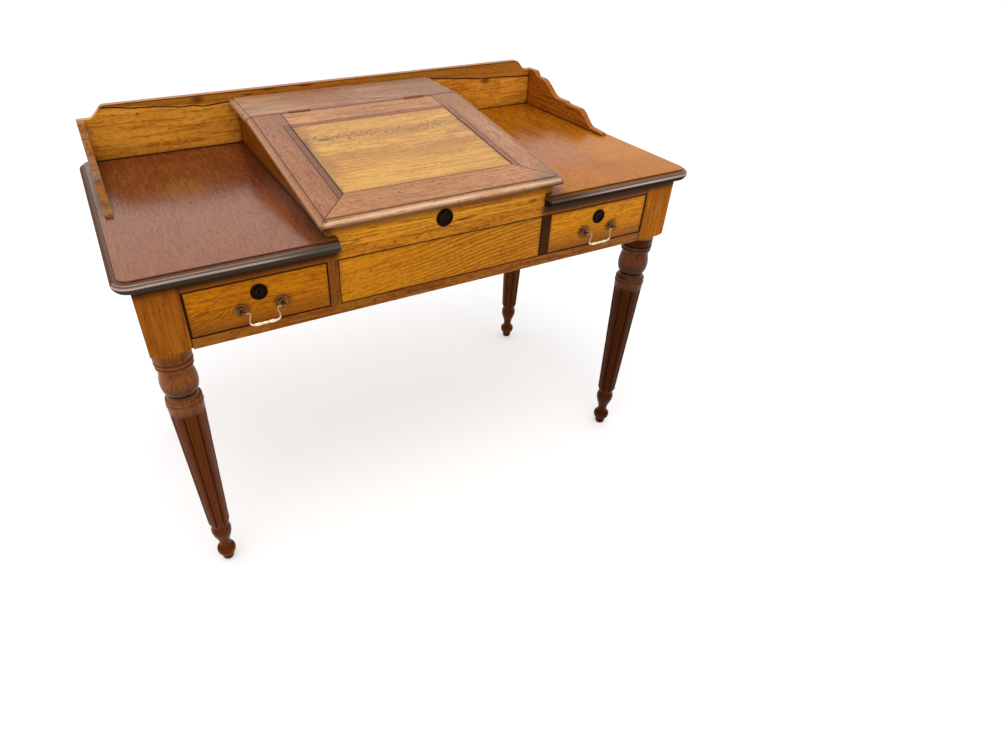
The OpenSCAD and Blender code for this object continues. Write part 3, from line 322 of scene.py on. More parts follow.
# %% [markdown]
# ## Marks in one place
# A knot, a crack or a stain sits in one place of one board. A painted picture could hold them
# all, but it would need a picture file. Here a mark is a sum on the distance to a point or to a
# line, in metres on the real board, made ragged by the board's own fibres.

# %% Board
class Board(Grain):
    def face(self):
        """1 on the board's two wide faces, 0 on its narrow edges."""
        outward = self.node("ShaderNodeTexCoord", {}, {}, "Normal")
        return abs(self.axes(outward)[self.thin]).rise(0.6, 0.9)

    def rim(self):
        """Distance to the nearest border of a board's wide face."""
        wide = [axis for axis in (X, Y, Z) if axis != self.thin]
        sides = [(self.parts[a] - self.low[a]).least(self.high[a] - self.parts[a]) for a in wide]
        return sides[0].least(sides[1])

    def reach(self, at, axes=(X, Z), stretch=1.0):
        """Distance to a point of a face, shortened along the first axis by the stretch."""
        across, up = (self.parts[axis] - place for axis, place in zip(axes, at))
        across = across / stretch
        return (across * across + up * up).root()

    def spot(self, at, size, axes=(X, Z), stretch=1.0):
        """A soft round mark: 1 in its middle, 0 past its size."""
        reach = self.reach(at, axes, stretch) + (self.streaks - 0.5) * size * 0.6
        return 1 - reach.rise(size * 0.3, size)

    def fitting_shadow(self, at, inner, outer):
        """A painted shadow round a fitting on an upright front."""
        reach = self.reach(at) + (self.blotches - 0.5) * 0.006
        return 1 - reach.rise(inner, outer)

    def swirl(self, at, size, ring, stretch):
        """Rings that close round one point of a face, as grain does round a buried knot."""
        reach = self.reach(at, (X, Z), stretch) + (self.blotches - 0.5) * size * 0.5
        return (reach / ring).fraction() ** 2 * (1 - reach.rise(size * 0.5, size))

    def seam(self, start, end, width, axes=(X, Z), wobble=0.0):
        """A thin line between two points of a face, as a crack or an open joint has."""
        across, up = (self.parts[axis] - place for axis, place in zip(axes, start))
        run = Vector(end) - Vector(start)
        ux, uz = run.normalized()
        on = across * ux + up * uz
        off = up * ux - across * uz
        if wobble:
            off = off + (self.noise(self.place, 22, 3) - 0.5) * 2 * wobble
        return (1 - abs(off).rise(width * 0.3, width)) * on.between(0, run.length, 0.002)

    def spots(self, plan, axes=(X, Z)):
        """A mark for each row of place, size, stretch, share and colour."""
        return [(self.spot(at, size, axes, stretch) * share, colour(*shade))
                for at, size, stretch, share, shade in plan]


# %% [markdown]
# ## Varnished wood
# Pale wood, late wood, streaks, pits, and dirt with painted shade in the corners are mixed one
# after another, from the largest mark to the smallest. One colour ramp over one noise would be
# shorter, but then all boards look printed from one sheet. Old varnish is amber and mirrors in
# amber, so its specular colour is warm, which keeps the fronts from turning grey. Dirt gathers where
# boards meet: a dark hairline right at the border of a face, and a broad faint shade inside it. Worn
# edges are paler, which also paints a highlight on them.

# %% Varnish
AMBER = (1.0, 0.50, 0.12, 1)
WARM = (1.0, 0.84, 0.64, 1)


def dress(nodes, material):
    for name in nodes:
        for slot in frame["nodes"][name].material_slots:
            slot.material = material


def border_soil(wood):
    """The dark hairline at the border of a face, and the broad faint shade inside it."""
    edge = wood.rim()
    reach = min(0.016, 0.12 * wood.narrow)
    hairline = 1 - edge.rise(0.0010, 0.0026)
    shade = (1 - edge.rise(0.0, reach)) * wood.blotches.rise(0.35, 0.65) * 0.5
    return (hairline * 1.2 + shade) * wood.face()


def varnished(wood, tone, ring=0.55, streak=0.75, mottle=0.65, pit=0.6, dirt_and_shade=0.9, rim=0.8,
              edge_wear_and_highlight=0.35, gloss=0.3, shine=0.25, coat=0.0, tint=AMBER, skin=0.6, dull=0.0, marks=()):
    """A board's finish. Ring, streak, mottle, pit, the darkened corners of grime and painted shade,
    rim, and the pale worn edges with their painted highlight are shares of those marks, gloss is the
    least roughness, skin the strength of the relief, and dull a mask of extra roughness."""
    body = wood.mix(wood.blotches.rise(0.32, 0.66), tone["mid"], tone["pale"])
    body = wood.mix(wood.rings * ring, body, tone["late"])
    body = wood.mix(wood.streaks.rise(0.46, 0.66) * streak, body, tone["late"])
    body = wood.mix(wood.mottle.rise(0.48, 0.70) * mottle, body, tone["pale"])
    body = wood.mix((1 - wood.mottle.rise(0.28, 0.48)) * mottle, body, tone["late"])
    body = wood.mix(wood.pits * pit, body, tone["pit"])
    for mask, mark in marks:
        body = wood.mix(mask, body, mark)
    body = wood.mix(wood.arris_wear_and_highlight * edge_wear_and_highlight, body, tone["pale"])
    soil_and_shade = wood.dirt_and_shade * dirt_and_shade
    if rim:
        soil_and_shade = soil_and_shade + border_soil(wood) * rim
    body = wood.mix(soil_and_shade.within(), body, tone["dirt_and_shade"])
    rough = gloss + wood.blotches * 0.1 + wood.pits * 0.2 + soil_and_shade * 0.15 + dull
    relief = wood.streaks * 0.3 - wood.pits * 0.7 + wood.mottle * 0.2 + wood.blotches
    return wood.give(
        Base_Color=body, Roughness=rough.within(), Normal=wood.bump(relief, 0.0004, skin), IOR=1.5,
        Specular_IOR_Level=shine, Specular_Tint=tint, Coat_Weight=coat, Coat_Roughness=0.08)


# %% [markdown]
# ## Honey-coloured pine
# The fronts, rails and aprons are pine under an old varnish that has turned orange. Each board
# has its own place in the log and its own main colour, because varnish and light have treated
# each one differently: the rails are browner than the drawer fronts. The sides of the box have
# three small knots.

# %% Honey pine
HONEY_BOARDS = {
    "lower_rail": (X, 0.4, (147, 84, 22)),
    "rear_apron": (X, 0.6, (170, 104, 22)),
    "left_apron": (Y, 0.6, (170, 104, 22)),
    "right_apron": (Y, 0.6, (170, 104, 22)),
    "left_box_side": (Y, 0.6, (140, 72, 14)),
    "right_box_side": (Y, 0.6, (140, 72, 14)),
}
BOX_SIDE_KNOTS = [
    ((0.02, 0.786), 0.006, 1.8, 0.75, (62, 30, 10)),
    ((-0.12, 0.776), 0.005, 1.8, 0.75, (62, 30, 10)),
    ((0.16, 0.812), 0.008, 1.8, 0.75, (62, 30, 10)),
]
for seed, (name, (grain, rim, main)) in enumerate(HONEY_BOARDS.items(), 1):
    wood = Board(name, grain, seed, ring=0.0052)
    knots = wood.spots(BOX_SIDE_KNOTS, (Y, Z)) if name.endswith("box_side") else []
    dress([name], varnished(wood, tones(*main), streak=0.95, mottle=0.8, rim=rim, marks=knots))
print("honey pine on", len(HONEY_BOARDS), "boards")

# %% [markdown]
# ## The top rail
# The rail runs under both wings and the box front. Between the wings it is as bright as the box
# front, and under their mouldings it is browner, with a painted deep brown shadow of the overhang.

# %% Top rail
# The shades start and are full so far under the rail's top edge
WINGS_START = (0.215, 0.235)
BROWN_SHADE, DEEP_SHADE = (0.030, 0.018), (0.021, 0.011)
top_rail = Board("top_rail", X, 8, heart=(-0.25, 0.80), skew=0.012)
wing_shadow_zone = abs(top_rail.x).rise(*WINGS_START)
brown_shadow, deep = (top_rail.z.rise(top_rail.high.z - start, top_rail.high.z - full)
               for start, full in (BROWN_SHADE, DEEP_SHADE))
# Under the wings: browner, then the painted shadow of their mouldings, near black at the top
marks = [
    (wing_shadow_zone * 0.55, colour(150, 72, 16)),
    (wing_shadow_zone * brown_shadow * 0.6, colour(98, 38, 10)),
    (wing_shadow_zone * deep * 0.95, colour(28, 10, 5)),
]
dress(["top_rail"], varnished(top_rail, tones(196, 120, 24), rim=0.25, marks=marks))
print("top rail from", round(top_rail.low.z, 3), "to", round(top_rail.high.z, 3), "m")

# %% [markdown]
# ## Drawer fronts
# Each front is one board with fine level grain. On the left one the grain closes round a buried
# knot, so arches run through its lower left corner, and a strip has splintered off its top edge.
# A painted shadow lies round each of the handle's two rosettes, shifted a little to the right,
# and the open joint over the front is nearly black.

# %% Drawer fronts
POST_HALF, POST_Z = 0.038, 0.6545
SHADOW_SHIFT, SHADOW_INNER, SHADOW_OUTER = 0.004, 0.010, 0.020
LOW_SHADE_H = 0.055
DRAWER_FRONTS = {"left_drawer_front": (11, (196, 114, 8)), "right_drawer_front": (14, (212, 129, 8))}
LEFT_FRONT_SPOTS = [
    ((-0.398, 0.7165), 0.0050, 5.0, 0.85, (58, 26, 8)),
    ((-0.456, 0.6810), 0.0022, 2.5, 0.70, (96, 48, 12)),
    ((-0.473, 0.6710), 0.0032, 1.6, 0.60, (96, 48, 12)),
]
for name, (seed, main) in DRAWER_FRONTS.items():
    wood = Board(name, X, seed, ring=0.0048)
    middle = (wood.low.x + wood.high.x) / 2
    low_shade = (1 - wood.z.rise(wood.low.z, wood.low.z + LOW_SHADE_H)) * wood.blotches.rise(0.2, 0.5)
    open_joint = 1 - (wood.high.z - wood.z).least(wood.x - wood.low.x).rise(0.0018, 0.0036)
    # A painted shadow round each rosette of the handle
    fitting_shadows = [wood.fitting_shadow((middle + post + SHADOW_SHIFT, POST_Z), SHADOW_INNER, SHADOW_OUTER)
             for post in (-POST_HALF, POST_HALF)]
    marks = [(fitting_shadow * 0.6, colour(66, 32, 10)) for fitting_shadow in fitting_shadows]
    marks += [
        (low_shade * 0.75, colour(128, 68, 20)),
        (open_joint * wood.face() * 0.95, colour(20, 10, 4)),
    ]
    if name.startswith("left"):
        arches = wood.swirl((-0.512, 0.684), 0.085, 0.0065, 1.5) * (1 - wood.z.rise(0.655, 0.675))
        marks.append((arches * 0.9, colour(106, 52, 8)))
        marks += wood.spots(LEFT_FRONT_SPOTS)
    dress([name], varnished(wood, tones(*main), streak=0.65, mottle=0.65, pit=0.5, marks=marks))
    print(name, "middle at", round(middle, 3), "with", len(marks), "marks")

# %% [markdown]
# ## The middle panel
# The panel between the drawers was sawn a little across the log, so its fine wavy lines rise to
# the right, with many dark flecks among them. The slope turns the whole log and not just a
# pattern on it, so rings, fibres and pits all agree.

# %% Middle panel
middle_panel = Board("center_panel", X, 21, heart=(-0.27, 0.50), skew=0.0, ring=0.0085,
                     slope=math.radians(8))
flecks = middle_panel.fibres(150, 320, 1)
marks = [
    (flecks.rise(0.64, 0.70) * 0.6, colour(104, 52, 10)),
    (middle_panel.rings * middle_panel.x.rise(-0.16, 0.02) * 0.9, colour(130, 68, 10)),
]
dress(["center_panel"], varnished(middle_panel, tones(200, 122, 16), ring=0.35, streak=0.5,
                                  mottle=0.6, pit=0.3, marks=marks))
print("middle panel", round(middle_panel.high.z - middle_panel.low.z, 3), "m high")

# %% [markdown]
# ## The box front
# The box front is one long board with straight lines, pale and dark, and a dark slash beside the
# lock, where a knot was planed away. A painted shadow of the lid makes its upper edge browner, and
# darker at its left end. The flecks are listed by place, because the real ones follow no rule.

# %% Box front
FRONT_FLECKS = [
    ((0.034, 0.7415), 0.0035, 6.0, 0.90, (48, 22, 8)),
    ((0.055, 0.7440), 0.0040, 5.0, 0.60, (96, 48, 12)),
    ((-0.190, 0.7420), 0.0040, 2.5, 0.60, (110, 58, 14)),
    ((0.198, 0.7500), 0.0060, 3.0, 0.65, (92, 46, 12)),
    ((0.150, 0.7340), 0.0030, 7.0, 0.65, (84, 42, 12)),
    ((0.105, 0.7275), 0.0025, 9.0, 0.60, (92, 46, 12)),
]
front = Board("box_front", X, 23, heart=(-0.25, 0.86), skew=0.012, ring=0.006)
lid_shadow = front.z.rise(0.757, 0.772)
left_end_shadow = 1 - (front.x - front.low.x).rise(0.0, 0.016)
marks = [
    (front.fibres(2.5, 230).rise(0.52, 0.62) * 0.7, colour(250, 176, 60)),
    (front.fibres(3.5, 170).rise(0.56, 0.66) * 0.55, colour(136, 74, 14)),
    # The painted shadow of the lid along the upper edge
    (lid_shadow * 0.75, colour(118, 62, 14)),
    *front.spots(FRONT_FLECKS),
    # Deeper painted shade under the lid's left corner
    (left_end_shadow * lid_shadow * 0.75, colour(58, 28, 10)),
]
dress(["box_front"], varnished(front, tones(212, 134, 28), rim=0.0, marks=marks))
print("box front with", len(FRONT_FLECKS), "flecks")

# %% [markdown]
# ## The gallery's back
# The back board has a long drying crack that runs right along it, with knots that the crack
# swings round. Above the crack the wood is browner, with long dark slashes. The crack is on the
# surface only, so paint says enough, and cutting it into the mesh would gain nothing.

# %% Gallery back
GALLERY_CRACK = [
    [(-0.548, 0.8725), (-0.534, 0.8715), (-0.472, 0.8635), (-0.414, 0.860), (-0.368, 0.8545),
     (-0.342, 0.8545), (-0.320, 0.8505), (-0.270, 0.853), (-0.240, 0.858)],
    [(0.230, 0.857), (0.277, 0.853), (0.370, 0.845), (0.423, 0.839), (0.484, 0.838), (0.575, 0.8325)],
]
GALLERY_SPOTS = [
    ((-0.162, 0.8710), 0.0030, 9.0, 0.80, (70, 34, 12)),
    ((-0.075, 0.8710), 0.0030, 10.0, 0.80, (70, 34, 12)),
    ((-0.215, 0.8655), 0.0028, 8.0, 0.80, (70, 34, 12)),
    ((-0.330, 0.8655), 0.0120, 1.7, 0.75, (84, 42, 16)),
    ((0.432, 0.8330), 0.0100, 2.0, 0.75, (84, 42, 16)),
    ((-0.463, 0.8505), 0.0035, 1.3, 0.75, (84, 42, 16)),
]
back_board = Board("gallery_back", X, 31, heart=(0.62, 0.80))
left_rise = back_board.x.rise(-0.55, -0.25) * 0.018
right_fall = back_board.x.rise(0.20, 0.58) * 0.022
above = (back_board.z + left_rise + right_fall).rise(0.868, 0.872)
near_corner = abs(back_board.x).rise(0.40, 0.60) * (1 - back_board.z.rise(0.765, 0.80))
marks = [(above * 0.6, colour(150, 84, 24))]
for path in GALLERY_CRACK:
    for start, end in zip(path, path[1:]):
        marks.append((back_board.seam(start, end, 0.0023, wobble=0.0012) * 0.95, colour(34, 15, 8)))
marks += back_board.spots(GALLERY_SPOTS)
marks.append((near_corner * 0.30, colour(120, 62, 14)))
dress(["gallery_back"], varnished(back_board, tones(224, 147, 44), pit=0.4, rim=0.7, marks=marks))
print("gallery back with", len(marks), "marks")

# %% [markdown]
# ## The gallery's sides
# The scrolled sides are darker than the back, and rubbed pale along the edge that every sleeve
# meets, which also paints a highlight there. The left one has dark steps along that edge, where the
# polish has chipped off.

# %% Gallery sides
RUBBED_EDGE_AND_HIGHLIGHT = colour(206, 170, 140)
GALLERY_SIDES = {"gallery_left_side": (33, (152, 92, 38)), "gallery_right_side": (35, (168, 94, 22))}
for name, (seed, main) in GALLERY_SIDES.items():
    wood = Board(name, Y, seed, ring=0.007)
    upper = wood.z.rise(wood.low.z + 0.015, wood.low.z + 0.030)
    narrow_edge = 1 - wood.face()
    # The rubbed edge: wear, and a painted highlight
    marks = [(wood.arris_wear_and_highlight * narrow_edge * upper * 0.6, RUBBED_EDGE_AND_HIGHLIGHT)]
    if name.endswith("left_side"):
        steps = wood.fibres(42, 5).rise(0.50, 0.56)
        marks.insert(0, (steps * narrow_edge * 0.6, colour(92, 62, 44)))
    dress([name], varnished(wood, tones(*main), rim=0.5, marks=marks))
    print(name, round(wood.high.z - wood.low.z, 3), "m high")

# %% [markdown]
# ## Marks of the wing tops
# The wings are stained a mahogany red and polished, with the grain from back to front. Each has
# its own wear: cracks, dust in the back corners, dark specks, zones where the stain is thin or, on
# the right wing, a painted pinkish reflection of the sky, and a paler front half that is worn and
# also a painted reflection of the sky. All are listed from the real tops, in metres from the middle
# of the desk.

# %% Wing marks
GOLD_DUST = colour(170, 118, 52)
DARK_SPECK = colour(58, 30, 18)
PALE_DUST = colour(206, 190, 172)
WINGS = {
    "left_wing": {
        "seed": 41, "main": (110, 50, 24), "worn": (152, 86, 48), "shine": 0.5, "coat": 0.16,
        "cracks": [((-0.461, 0.281), (-0.463, -0.02)), ((-0.463, -0.02), (-0.478, -0.20)),
                   ((-0.428, -0.262), (-0.431, -0.300))],
        "dust": [(-0.338, 0.296), (-0.262, 0.290), (-0.274, 0.296)],
        "specks": [((-0.535, -0.042), 0.004), ((-0.323, -0.045), 0.005), ((-0.352, 0.061), 0.0035),
                   ((-0.558, 0.234), 0.003)],
        "zones": [((-0.43, 0.05), 0.075, GOLD_DUST, 0.5),
                  ((-0.40, -0.16), 0.14, colour(160, 92, 62), 0.35)],
    },
    "right_wing": {
        "seed": 43, "main": (164, 92, 14), "worn": (200, 118, 10), "shine": 0.08, "coat": 0.75,
        "cracks": [((0.318, -0.198), (0.352, -0.212)), ((0.352, -0.212), (0.360, -0.190))],
        "dust": [(0.560, 0.288), (0.570, 0.278), (0.552, 0.292)],
        "specks": [((0.548, -0.188), 0.0035), ((0.568, 0.017), 0.004), ((0.352, 0.10), 0.003)],
        # The first zone is a painted pinkish reflection of the sky
        "zones": [((0.38, -0.09), 0.13, colour(180, 126, 106), 0.9),
                  ((0.54, -0.13), 0.12, colour(218, 140, 40), 0.8),
                  ((0.44, -0.22), 0.06, colour(180, 88, 28), 0.6)],
    },
}


def wear_marks(top, plan):
    """Worn front half with a painted sky reflection, zones of thin stain or painted reflection,
    cracks, dust and specks on the flat of a top.
    """
    grit = top.noise(top.own, 330, 2, 0.6).rise(0.50, 0.66)
    # A paler front half: wear, and a painted reflection of the sky
    worn = 1 - (top.y + (top.blotches - 0.5) * 0.10).rise(-0.10, 0.06)
    return [
        (worn * 0.75, colour(*plan["worn"])),
        *((top.spot(at, size, (X, Y)) * (0.45 + grit * 0.55) * share, tone)
          for at, size, tone, share in plan["zones"]),
        *((top.seam(start, end, 0.0022, (X, Y), wobble=0.0016) * 0.35, DARK_SPECK)
          for start, end in plan["cracks"]),
        *((top.spot(at, 0.0035, (X, Y)) * grit * 0.9, PALE_DUST) for at in plan["dust"]),
        *((top.spot(at, size, (X, Y)) * 0.75, DARK_SPECK) for at, size in plan["specks"]),
    ]


print("cracks", [len(plan["cracks"]) for plan in WINGS.values()])

# %% [markdown]
# ## The wing tops
# The wings mirror the gallery in their back half and the sky in their front half, so their look
# is mostly gloss: a saturated brown body under smooth polish, and the scene's light does the
# rest. Painting the two halves would be simpler, and wrong from every other side. The moulded
# edge is nearly black, so the depth of a point below the top darkens it, with painted shade in the
# quirk, on the lower curve and at the inner end, and a painted dark reflection of the box side on
# the top beside it. At the front two painted highlights run along the moulding, which has a clear
# coat there, and both fade towards the box.

# %% Wing tops
# Each band starts and ends so many metres behind the front edge, out from the middle of the
# desk, or under the top. The two painted highlight lines have a third value, the softness of
# their borders.
FRONT_BAND = (0.018, 0.030)
HIGHLIGHT_AND_COAT_REACH = (0.26, 0.38)
QUIRK, MOULDING, LOWER_CURVE = (0.0003, 0.0010), (0.0015, 0.006), (0.0125, 0.0145)
UPPER_LINE, LOWER_LINE = (0.0046, 0.0062, 0.0008), (0.0080, 0.0115, 0.0010)
for name, plan in WINGS.items():
    top = Board(name, Y, plan["seed"], heart=(0.1, 0.9), ring=0.009)
    marks = wear_marks(top, plan)
    haze = top.fibres(30, 260, 4, 0.65)
    from_middle = abs(top.x)
    box_reflection_and_shade = 1 - (from_middle + (top.blotches - 0.5) * 0.03).rise(0.238, 0.300)
    inner_end_shade = 1 - from_middle.rise(0.225, 0.245)
    highlight_and_coat_reach = 0.25 + from_middle.rise(*HIGHLIGHT_AND_COAT_REACH) * 0.75
    depth = top.high.z - top.z
    quirk_shade, moulding, shaded_lower_curve = (depth.rise(*band) for band in (QUIRK, MOULDING, LOWER_CURVE))
    front_edge = 1 - top.y.rise(*(top.low.y + band for band in FRONT_BAND))
    highlight_lines = depth.between(*LOWER_LINE) + depth.between(*UPPER_LINE) * 0.6
    scratches = top.fibres(420, 3, grain=Z).rise(0.4, 0.6)
    moulding_highlight = highlight_lines * (0.35 + scratches * 0.65) * highlight_and_coat_reach
    marks += [
        (haze.rise(0.48, 0.70) * 0.24, colour(*plan["worn"], share=1.3)),
        ((1 - haze.rise(0.32, 0.52)) * 0.30, colour(*plan["main"], share=0.5)),
        # A painted dark reflection and shade of the box side on the top beside it
        (box_reflection_and_shade * 0.5, colour(62, 26, 12)),
        # Painted shade in the quirk just under the top's edge
        (quirk_shade * 0.5, colour(52, 28, 16)),
        (moulding * 0.94, colour(30, 17, 11)),
        (moulding * (1 - front_edge) * 0.85, colour(98, 60, 30)),
        # Painted shade on the inner end of the moulding beside the box
        (inner_end_shade * 0.6, colour(54, 30, 18)),
        # Two painted highlights along the front of the moulding
        ((moulding_highlight * front_edge).within() * 0.9, colour(222, 188, 174)),
        # Painted shade on the lower curve of the moulding
        (shaded_lower_curve * 0.6, colour(18, 10, 7)),
    ]
    dress([name], varnished(
        top, tones(*plan["main"]), ring=0.35, streak=0.7, mottle=0.9, pit=0.25, rim=0.0, skin=1.0,
        shine=plan["shine"], coat=moulding * front_edge * (1 - shaded_lower_curve) * highlight_and_coat_reach * plan["coat"],
        gloss=0.13, tint=WARM, dull=moulding * (0.80 - front_edge * 0.52) + shaded_lower_curve * 0.3,
        marks=marks))
    print(name, "with", len(marks), "marks, top at", round(top.high.z, 3), "m")

# %% [markdown]
# ## Measures of the lid
# The marks of the sloping lid are placed by how far they lie down from its hinge line, as one
# would measure on the real lid, and one function turns that into Y.

# %% Lid measures
lid_hinge = next(joint for joint in frame["joints"] if joint["name"] == "lid_hinge")
HINGE_Y, HINGE_Z = lid_hinge["pos_m"][1:]
LID_SLOPE = math.radians(7.8)
STILE_W, FOOT_RAIL_W = 0.064, 0.072
stile_low, stile_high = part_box("lid_right_stile")
LID_EDGE = stile_high.x
STILE_IN = LID_EDGE - STILE_W
LID_LENGTH = (HINGE_Y - stile_low.y) / math.cos(LID_SLOPE)


def down_lid(distance):
    """The Y of a point that lies so far down the slope of the lid's face."""
    return HINGE_Y - distance * math.cos(LID_SLOPE)


print("lid", round(LID_LENGTH, 3), "m down its slope,", round(2 * LID_EDGE, 3), "m wide")

# %% [markdown]
# ## The lid's frame
# The lid is a frame of pinkish brown wood round a pale pine panel, with a lighter rail at its
# top and dark bead strips let in beside the panel. The corners at its foot are mitred, and the
# glue has given there, so the mitres show as dark lines. Both boards at a mitre get the same
# line, because each shows only the half that lies on it.

# %% Lid marks
GREY_WEAR = colour(126, 106, 86)
LID_LINE = colour(40, 24, 14)


def joint_marks(wood):
    """Nicks, the two mitres, a grey worn patch at the right corner and the gap at the left one."""
    nicks = wood.fibres(60, 170, 1).rise(0.70, 0.74)
    foot_y, nose_y = down_lid(LID_LENGTH - FOOT_RAIL_W), down_lid(LID_LENGTH + 0.0135)
    mitres = [wood.seam((side * STILE_IN, foot_y), (side * (LID_EDGE + 0.012), nose_y), 0.0018, (X, Y))
              for side in (-1, 1)]
    corner = wood.spot((LID_EDGE - 0.004, down_lid(LID_LENGTH - 0.004)), 0.045, (X, Y), 1.6)
    gap = wood.spot((-LID_EDGE, down_lid(LID_LENGTH + 0.004)), 0.008, (X, Y))
    return [(nicks * 0.6, colour(84, 46, 28)), *((mitre * 0.9, LID_LINE) for mitre in mitres),
            (corner * 0.6, GREY_WEAR), (gap * 0.8, LID_LINE)]


def nose_marks(wood):
    """Lines along the rounded moulding, by their depth under the slope of the lid's face: a painted
    highlight along its upper curve and painted shade on its lower one.
    """
    under = HINGE_Z - (HINGE_Y - wood.y) * math.tan(LID_SLOPE) - wood.z
    nose = 1 - abs(wood.x).rise(LID_EDGE, LID_EDGE + 0.004)
    lit = under.between(0.0030, 0.0062, 0.0010) * wood.streaks.rise(0.30, 0.55)
    return [
        ((1 - nose) * 0.65, colour(154, 90, 46)),
        (under.between(0.0008, 0.0020, 0.0005) * 0.45, colour(110, 66, 40)),
        (lit * (0.15 + nose * 0.60), colour(250, 214, 186)),
        # Painted shade on the lower curve of the nose, darkest at its foot
        (under.rise(0.0078, 0.0100) * 0.70, colour(122, 68, 38)),
        (under.rise(0.0108, 0.0130) * 0.8, colour(48, 24, 12)),
    ]


def border_marks(wood):
    """The dark line where the flat frame meets the moulding round it."""
    past_side, past_foot = abs(wood.x) - LID_EDGE, down_lid(LID_LENGTH) - wood.y
    return [(past_side.most(past_foot).rise(-0.0035, -0.0010) * 0.8, colour(70, 38, 22))]


# %% [markdown]
# The rounded moulding is lighter than the frame, because every writing arm has rubbed it, and it
# has a painted highlight along its upper curve and painted shade under it. The stiles are browner
# at their upper end and along the beads.

# %% Lid frame
LID_FRAME = {
    "lid_left_stile": (Y, (168, 104, 58)), "lid_right_stile": (Y, (178, 117, 66)),
    "lid_bottom_rail": (X, (187, 123, 68)), "lid_moulding": (X, (200, 140, 84)),
}
LID_HEARTS = {X: (-0.25, 0.70), Y: (0.0, 0.78)}
LID_POLISH = {"shine": 0.4, "coat": 0.15, "tint": WARM}
for seed, (name, (grain, main)) in enumerate(LID_FRAME.items(), 51):
    wood = Board(name, grain, seed, heart=LID_HEARTS[grain])
    marks = joint_marks(wood)
    marks += nose_marks(wood) if name == "lid_moulding" else border_marks(wood)
    if grain == Y:
        inner = 1 - (abs(wood.x) - STILE_IN).rise(0.012, 0.034)
        marks.insert(0, (inner * 0.35, colour(132, 78, 54)))
        marks.insert(0, (wood.y.rise(-0.04, 0.10) * 0.35, colour(140, 82, 46)))
    dress([name], varnished(wood, tones(*main), ring=0.4, streak=0.7, mottle=0.55, pit=0.5, rim=0.0,
                            edge_wear_and_highlight=0.5, marks=marks, **LID_POLISH))
print("lid frame", len(LID_FRAME), "woods")

# %% [markdown]
# ## The lid's top rail and beads
# The top rail is a paler board with a stain along the hinges and one plugged hole. The beads are
# dark strips; black lines mark where they meet the panel and, at the sides, where the stiles
# start. The distance from the panel's edge gives both lines.

# %% Top rail and beads
BEAD_W = 0.014
rail = Board("lid_top_rail", X, 57, heart=(0.1, 0.8))
hinge_stain = rail.y.rise(HINGE_Y - 0.007, HINGE_Y - 0.003)
plug = rail.spot((-0.007, 0.082), 0.0045, (X, Y))
marks = [(hinge_stain * 0.7, colour(112, 60, 42)), (plug * 0.8, colour(60, 36, 22))]
dress(["lid_top_rail"], varnished(rail, tones(191, 126, 62), ring=0.4, streak=0.95, mottle=0.55,
                                  rim=0.7, marks=marks, **LID_POLISH))

beads = Board("lid_beads", X, 58, heart=(0.1, 0.8))
side_strips = abs(beads.x).rise(STILE_IN - 0.0015, STILE_IN - 0.0005)
from_panel = abs(beads.x) - STILE_IN
near_panel = 1 - abs(from_panel).rise(0.0008, 0.0022)
far_side = 1 - abs(from_panel - BEAD_W).rise(0.0006, 0.0018)
left_strip = 1 - beads.x.rise(-0.02, 0.02)
grey_joint = beads.spot((-0.189, 0.062), 0.016, (X, Y))
marks = [
    (side_strips * left_strip * 0.45, colour(104, 66, 46)),
    (grey_joint * 0.6, colour(96, 82, 66)),
    (near_panel * 0.9, colour(24, 14, 8)),
    (far_side * side_strips * 0.8, colour(36, 22, 14)),
]
dress(["lid_beads"], varnished(beads, tones(154, 92, 60), rim=0.0, shine=0.35, tint=WARM, marks=marks))
print("lid top rail", round(rail.high.x - rail.low.x, 3), "m long, beads", BEAD_W, "m wide")

# %% [markdown]
# ## The lid's panel
# The panel is pale yellow pine with a band of dark flecks across its upper third, where the saw
# cut through old sap pockets, and a brown stain along its left edge. A band is a soft step up
# and a soft step down along the slope, and it only lets more of the flecks show.

# %% Lid panel
panel = Board("lid_panel", X, 61, heart=(0.0, 0.70), ring=0.007)
panel_depth = panel.high.y - panel.low.y
down = (panel.high.y - panel.y) / panel_depth
wavy = down + (panel.blotches - 0.5) * 0.10
band = wavy.between(0.20, 0.30, 0.05)
below_band = wavy.rise(0.26, 0.34) * (1 - wavy.rise(0.50, 0.72))
specks = panel.fibres(190, 270, 2, 0.6)
dense = (specks + band * 0.15 + below_band * 0.035).rise(0.66, 0.71)
left_edge = 1 - (panel.x - panel.low.x + (panel.blotches - 0.5) * 0.06).rise(0.006, 0.035)
cloud = panel.fibres(7, 24, 4).rise(0.44, 0.62)
patch = panel.spot((-0.140, -0.010), 0.008, (X, Y), 2.6)
right_half = panel.x.rise(-0.02, 0.12)
marks = [
    (band * 0.30, colour(150, 92, 48)),
    (cloud * below_band * (0.45 + right_half * 0.25), colour(176, 106, 48)),
    (left_edge * (1 - down.rise(0.6, 0.95)) * 0.45, colour(146, 86, 46)),
    (patch * 0.75, colour(104, 62, 38)),
    (dense * 0.85, colour(96, 42, 16)),
]
dress(["lid_panel"], varnished(panel, tones(212, 151, 58), ring=0.45, streak=0.55, mottle=0.4, pit=0.3,
                               rim=0.7, marks=marks, **LID_POLISH))
print("lid panel", round(panel_depth, 3), "m deep")

# %% [markdown]
# ## The worn fixed board
# Behind the lid a fixed board has lost most of its polish where things stood on it: pinkish grey
# wood with grey scuffs along the grain, paler to the left. The scuffs are noises stretched along
# the board that fade its colour, and the whole board is duller than the rest of the desk.

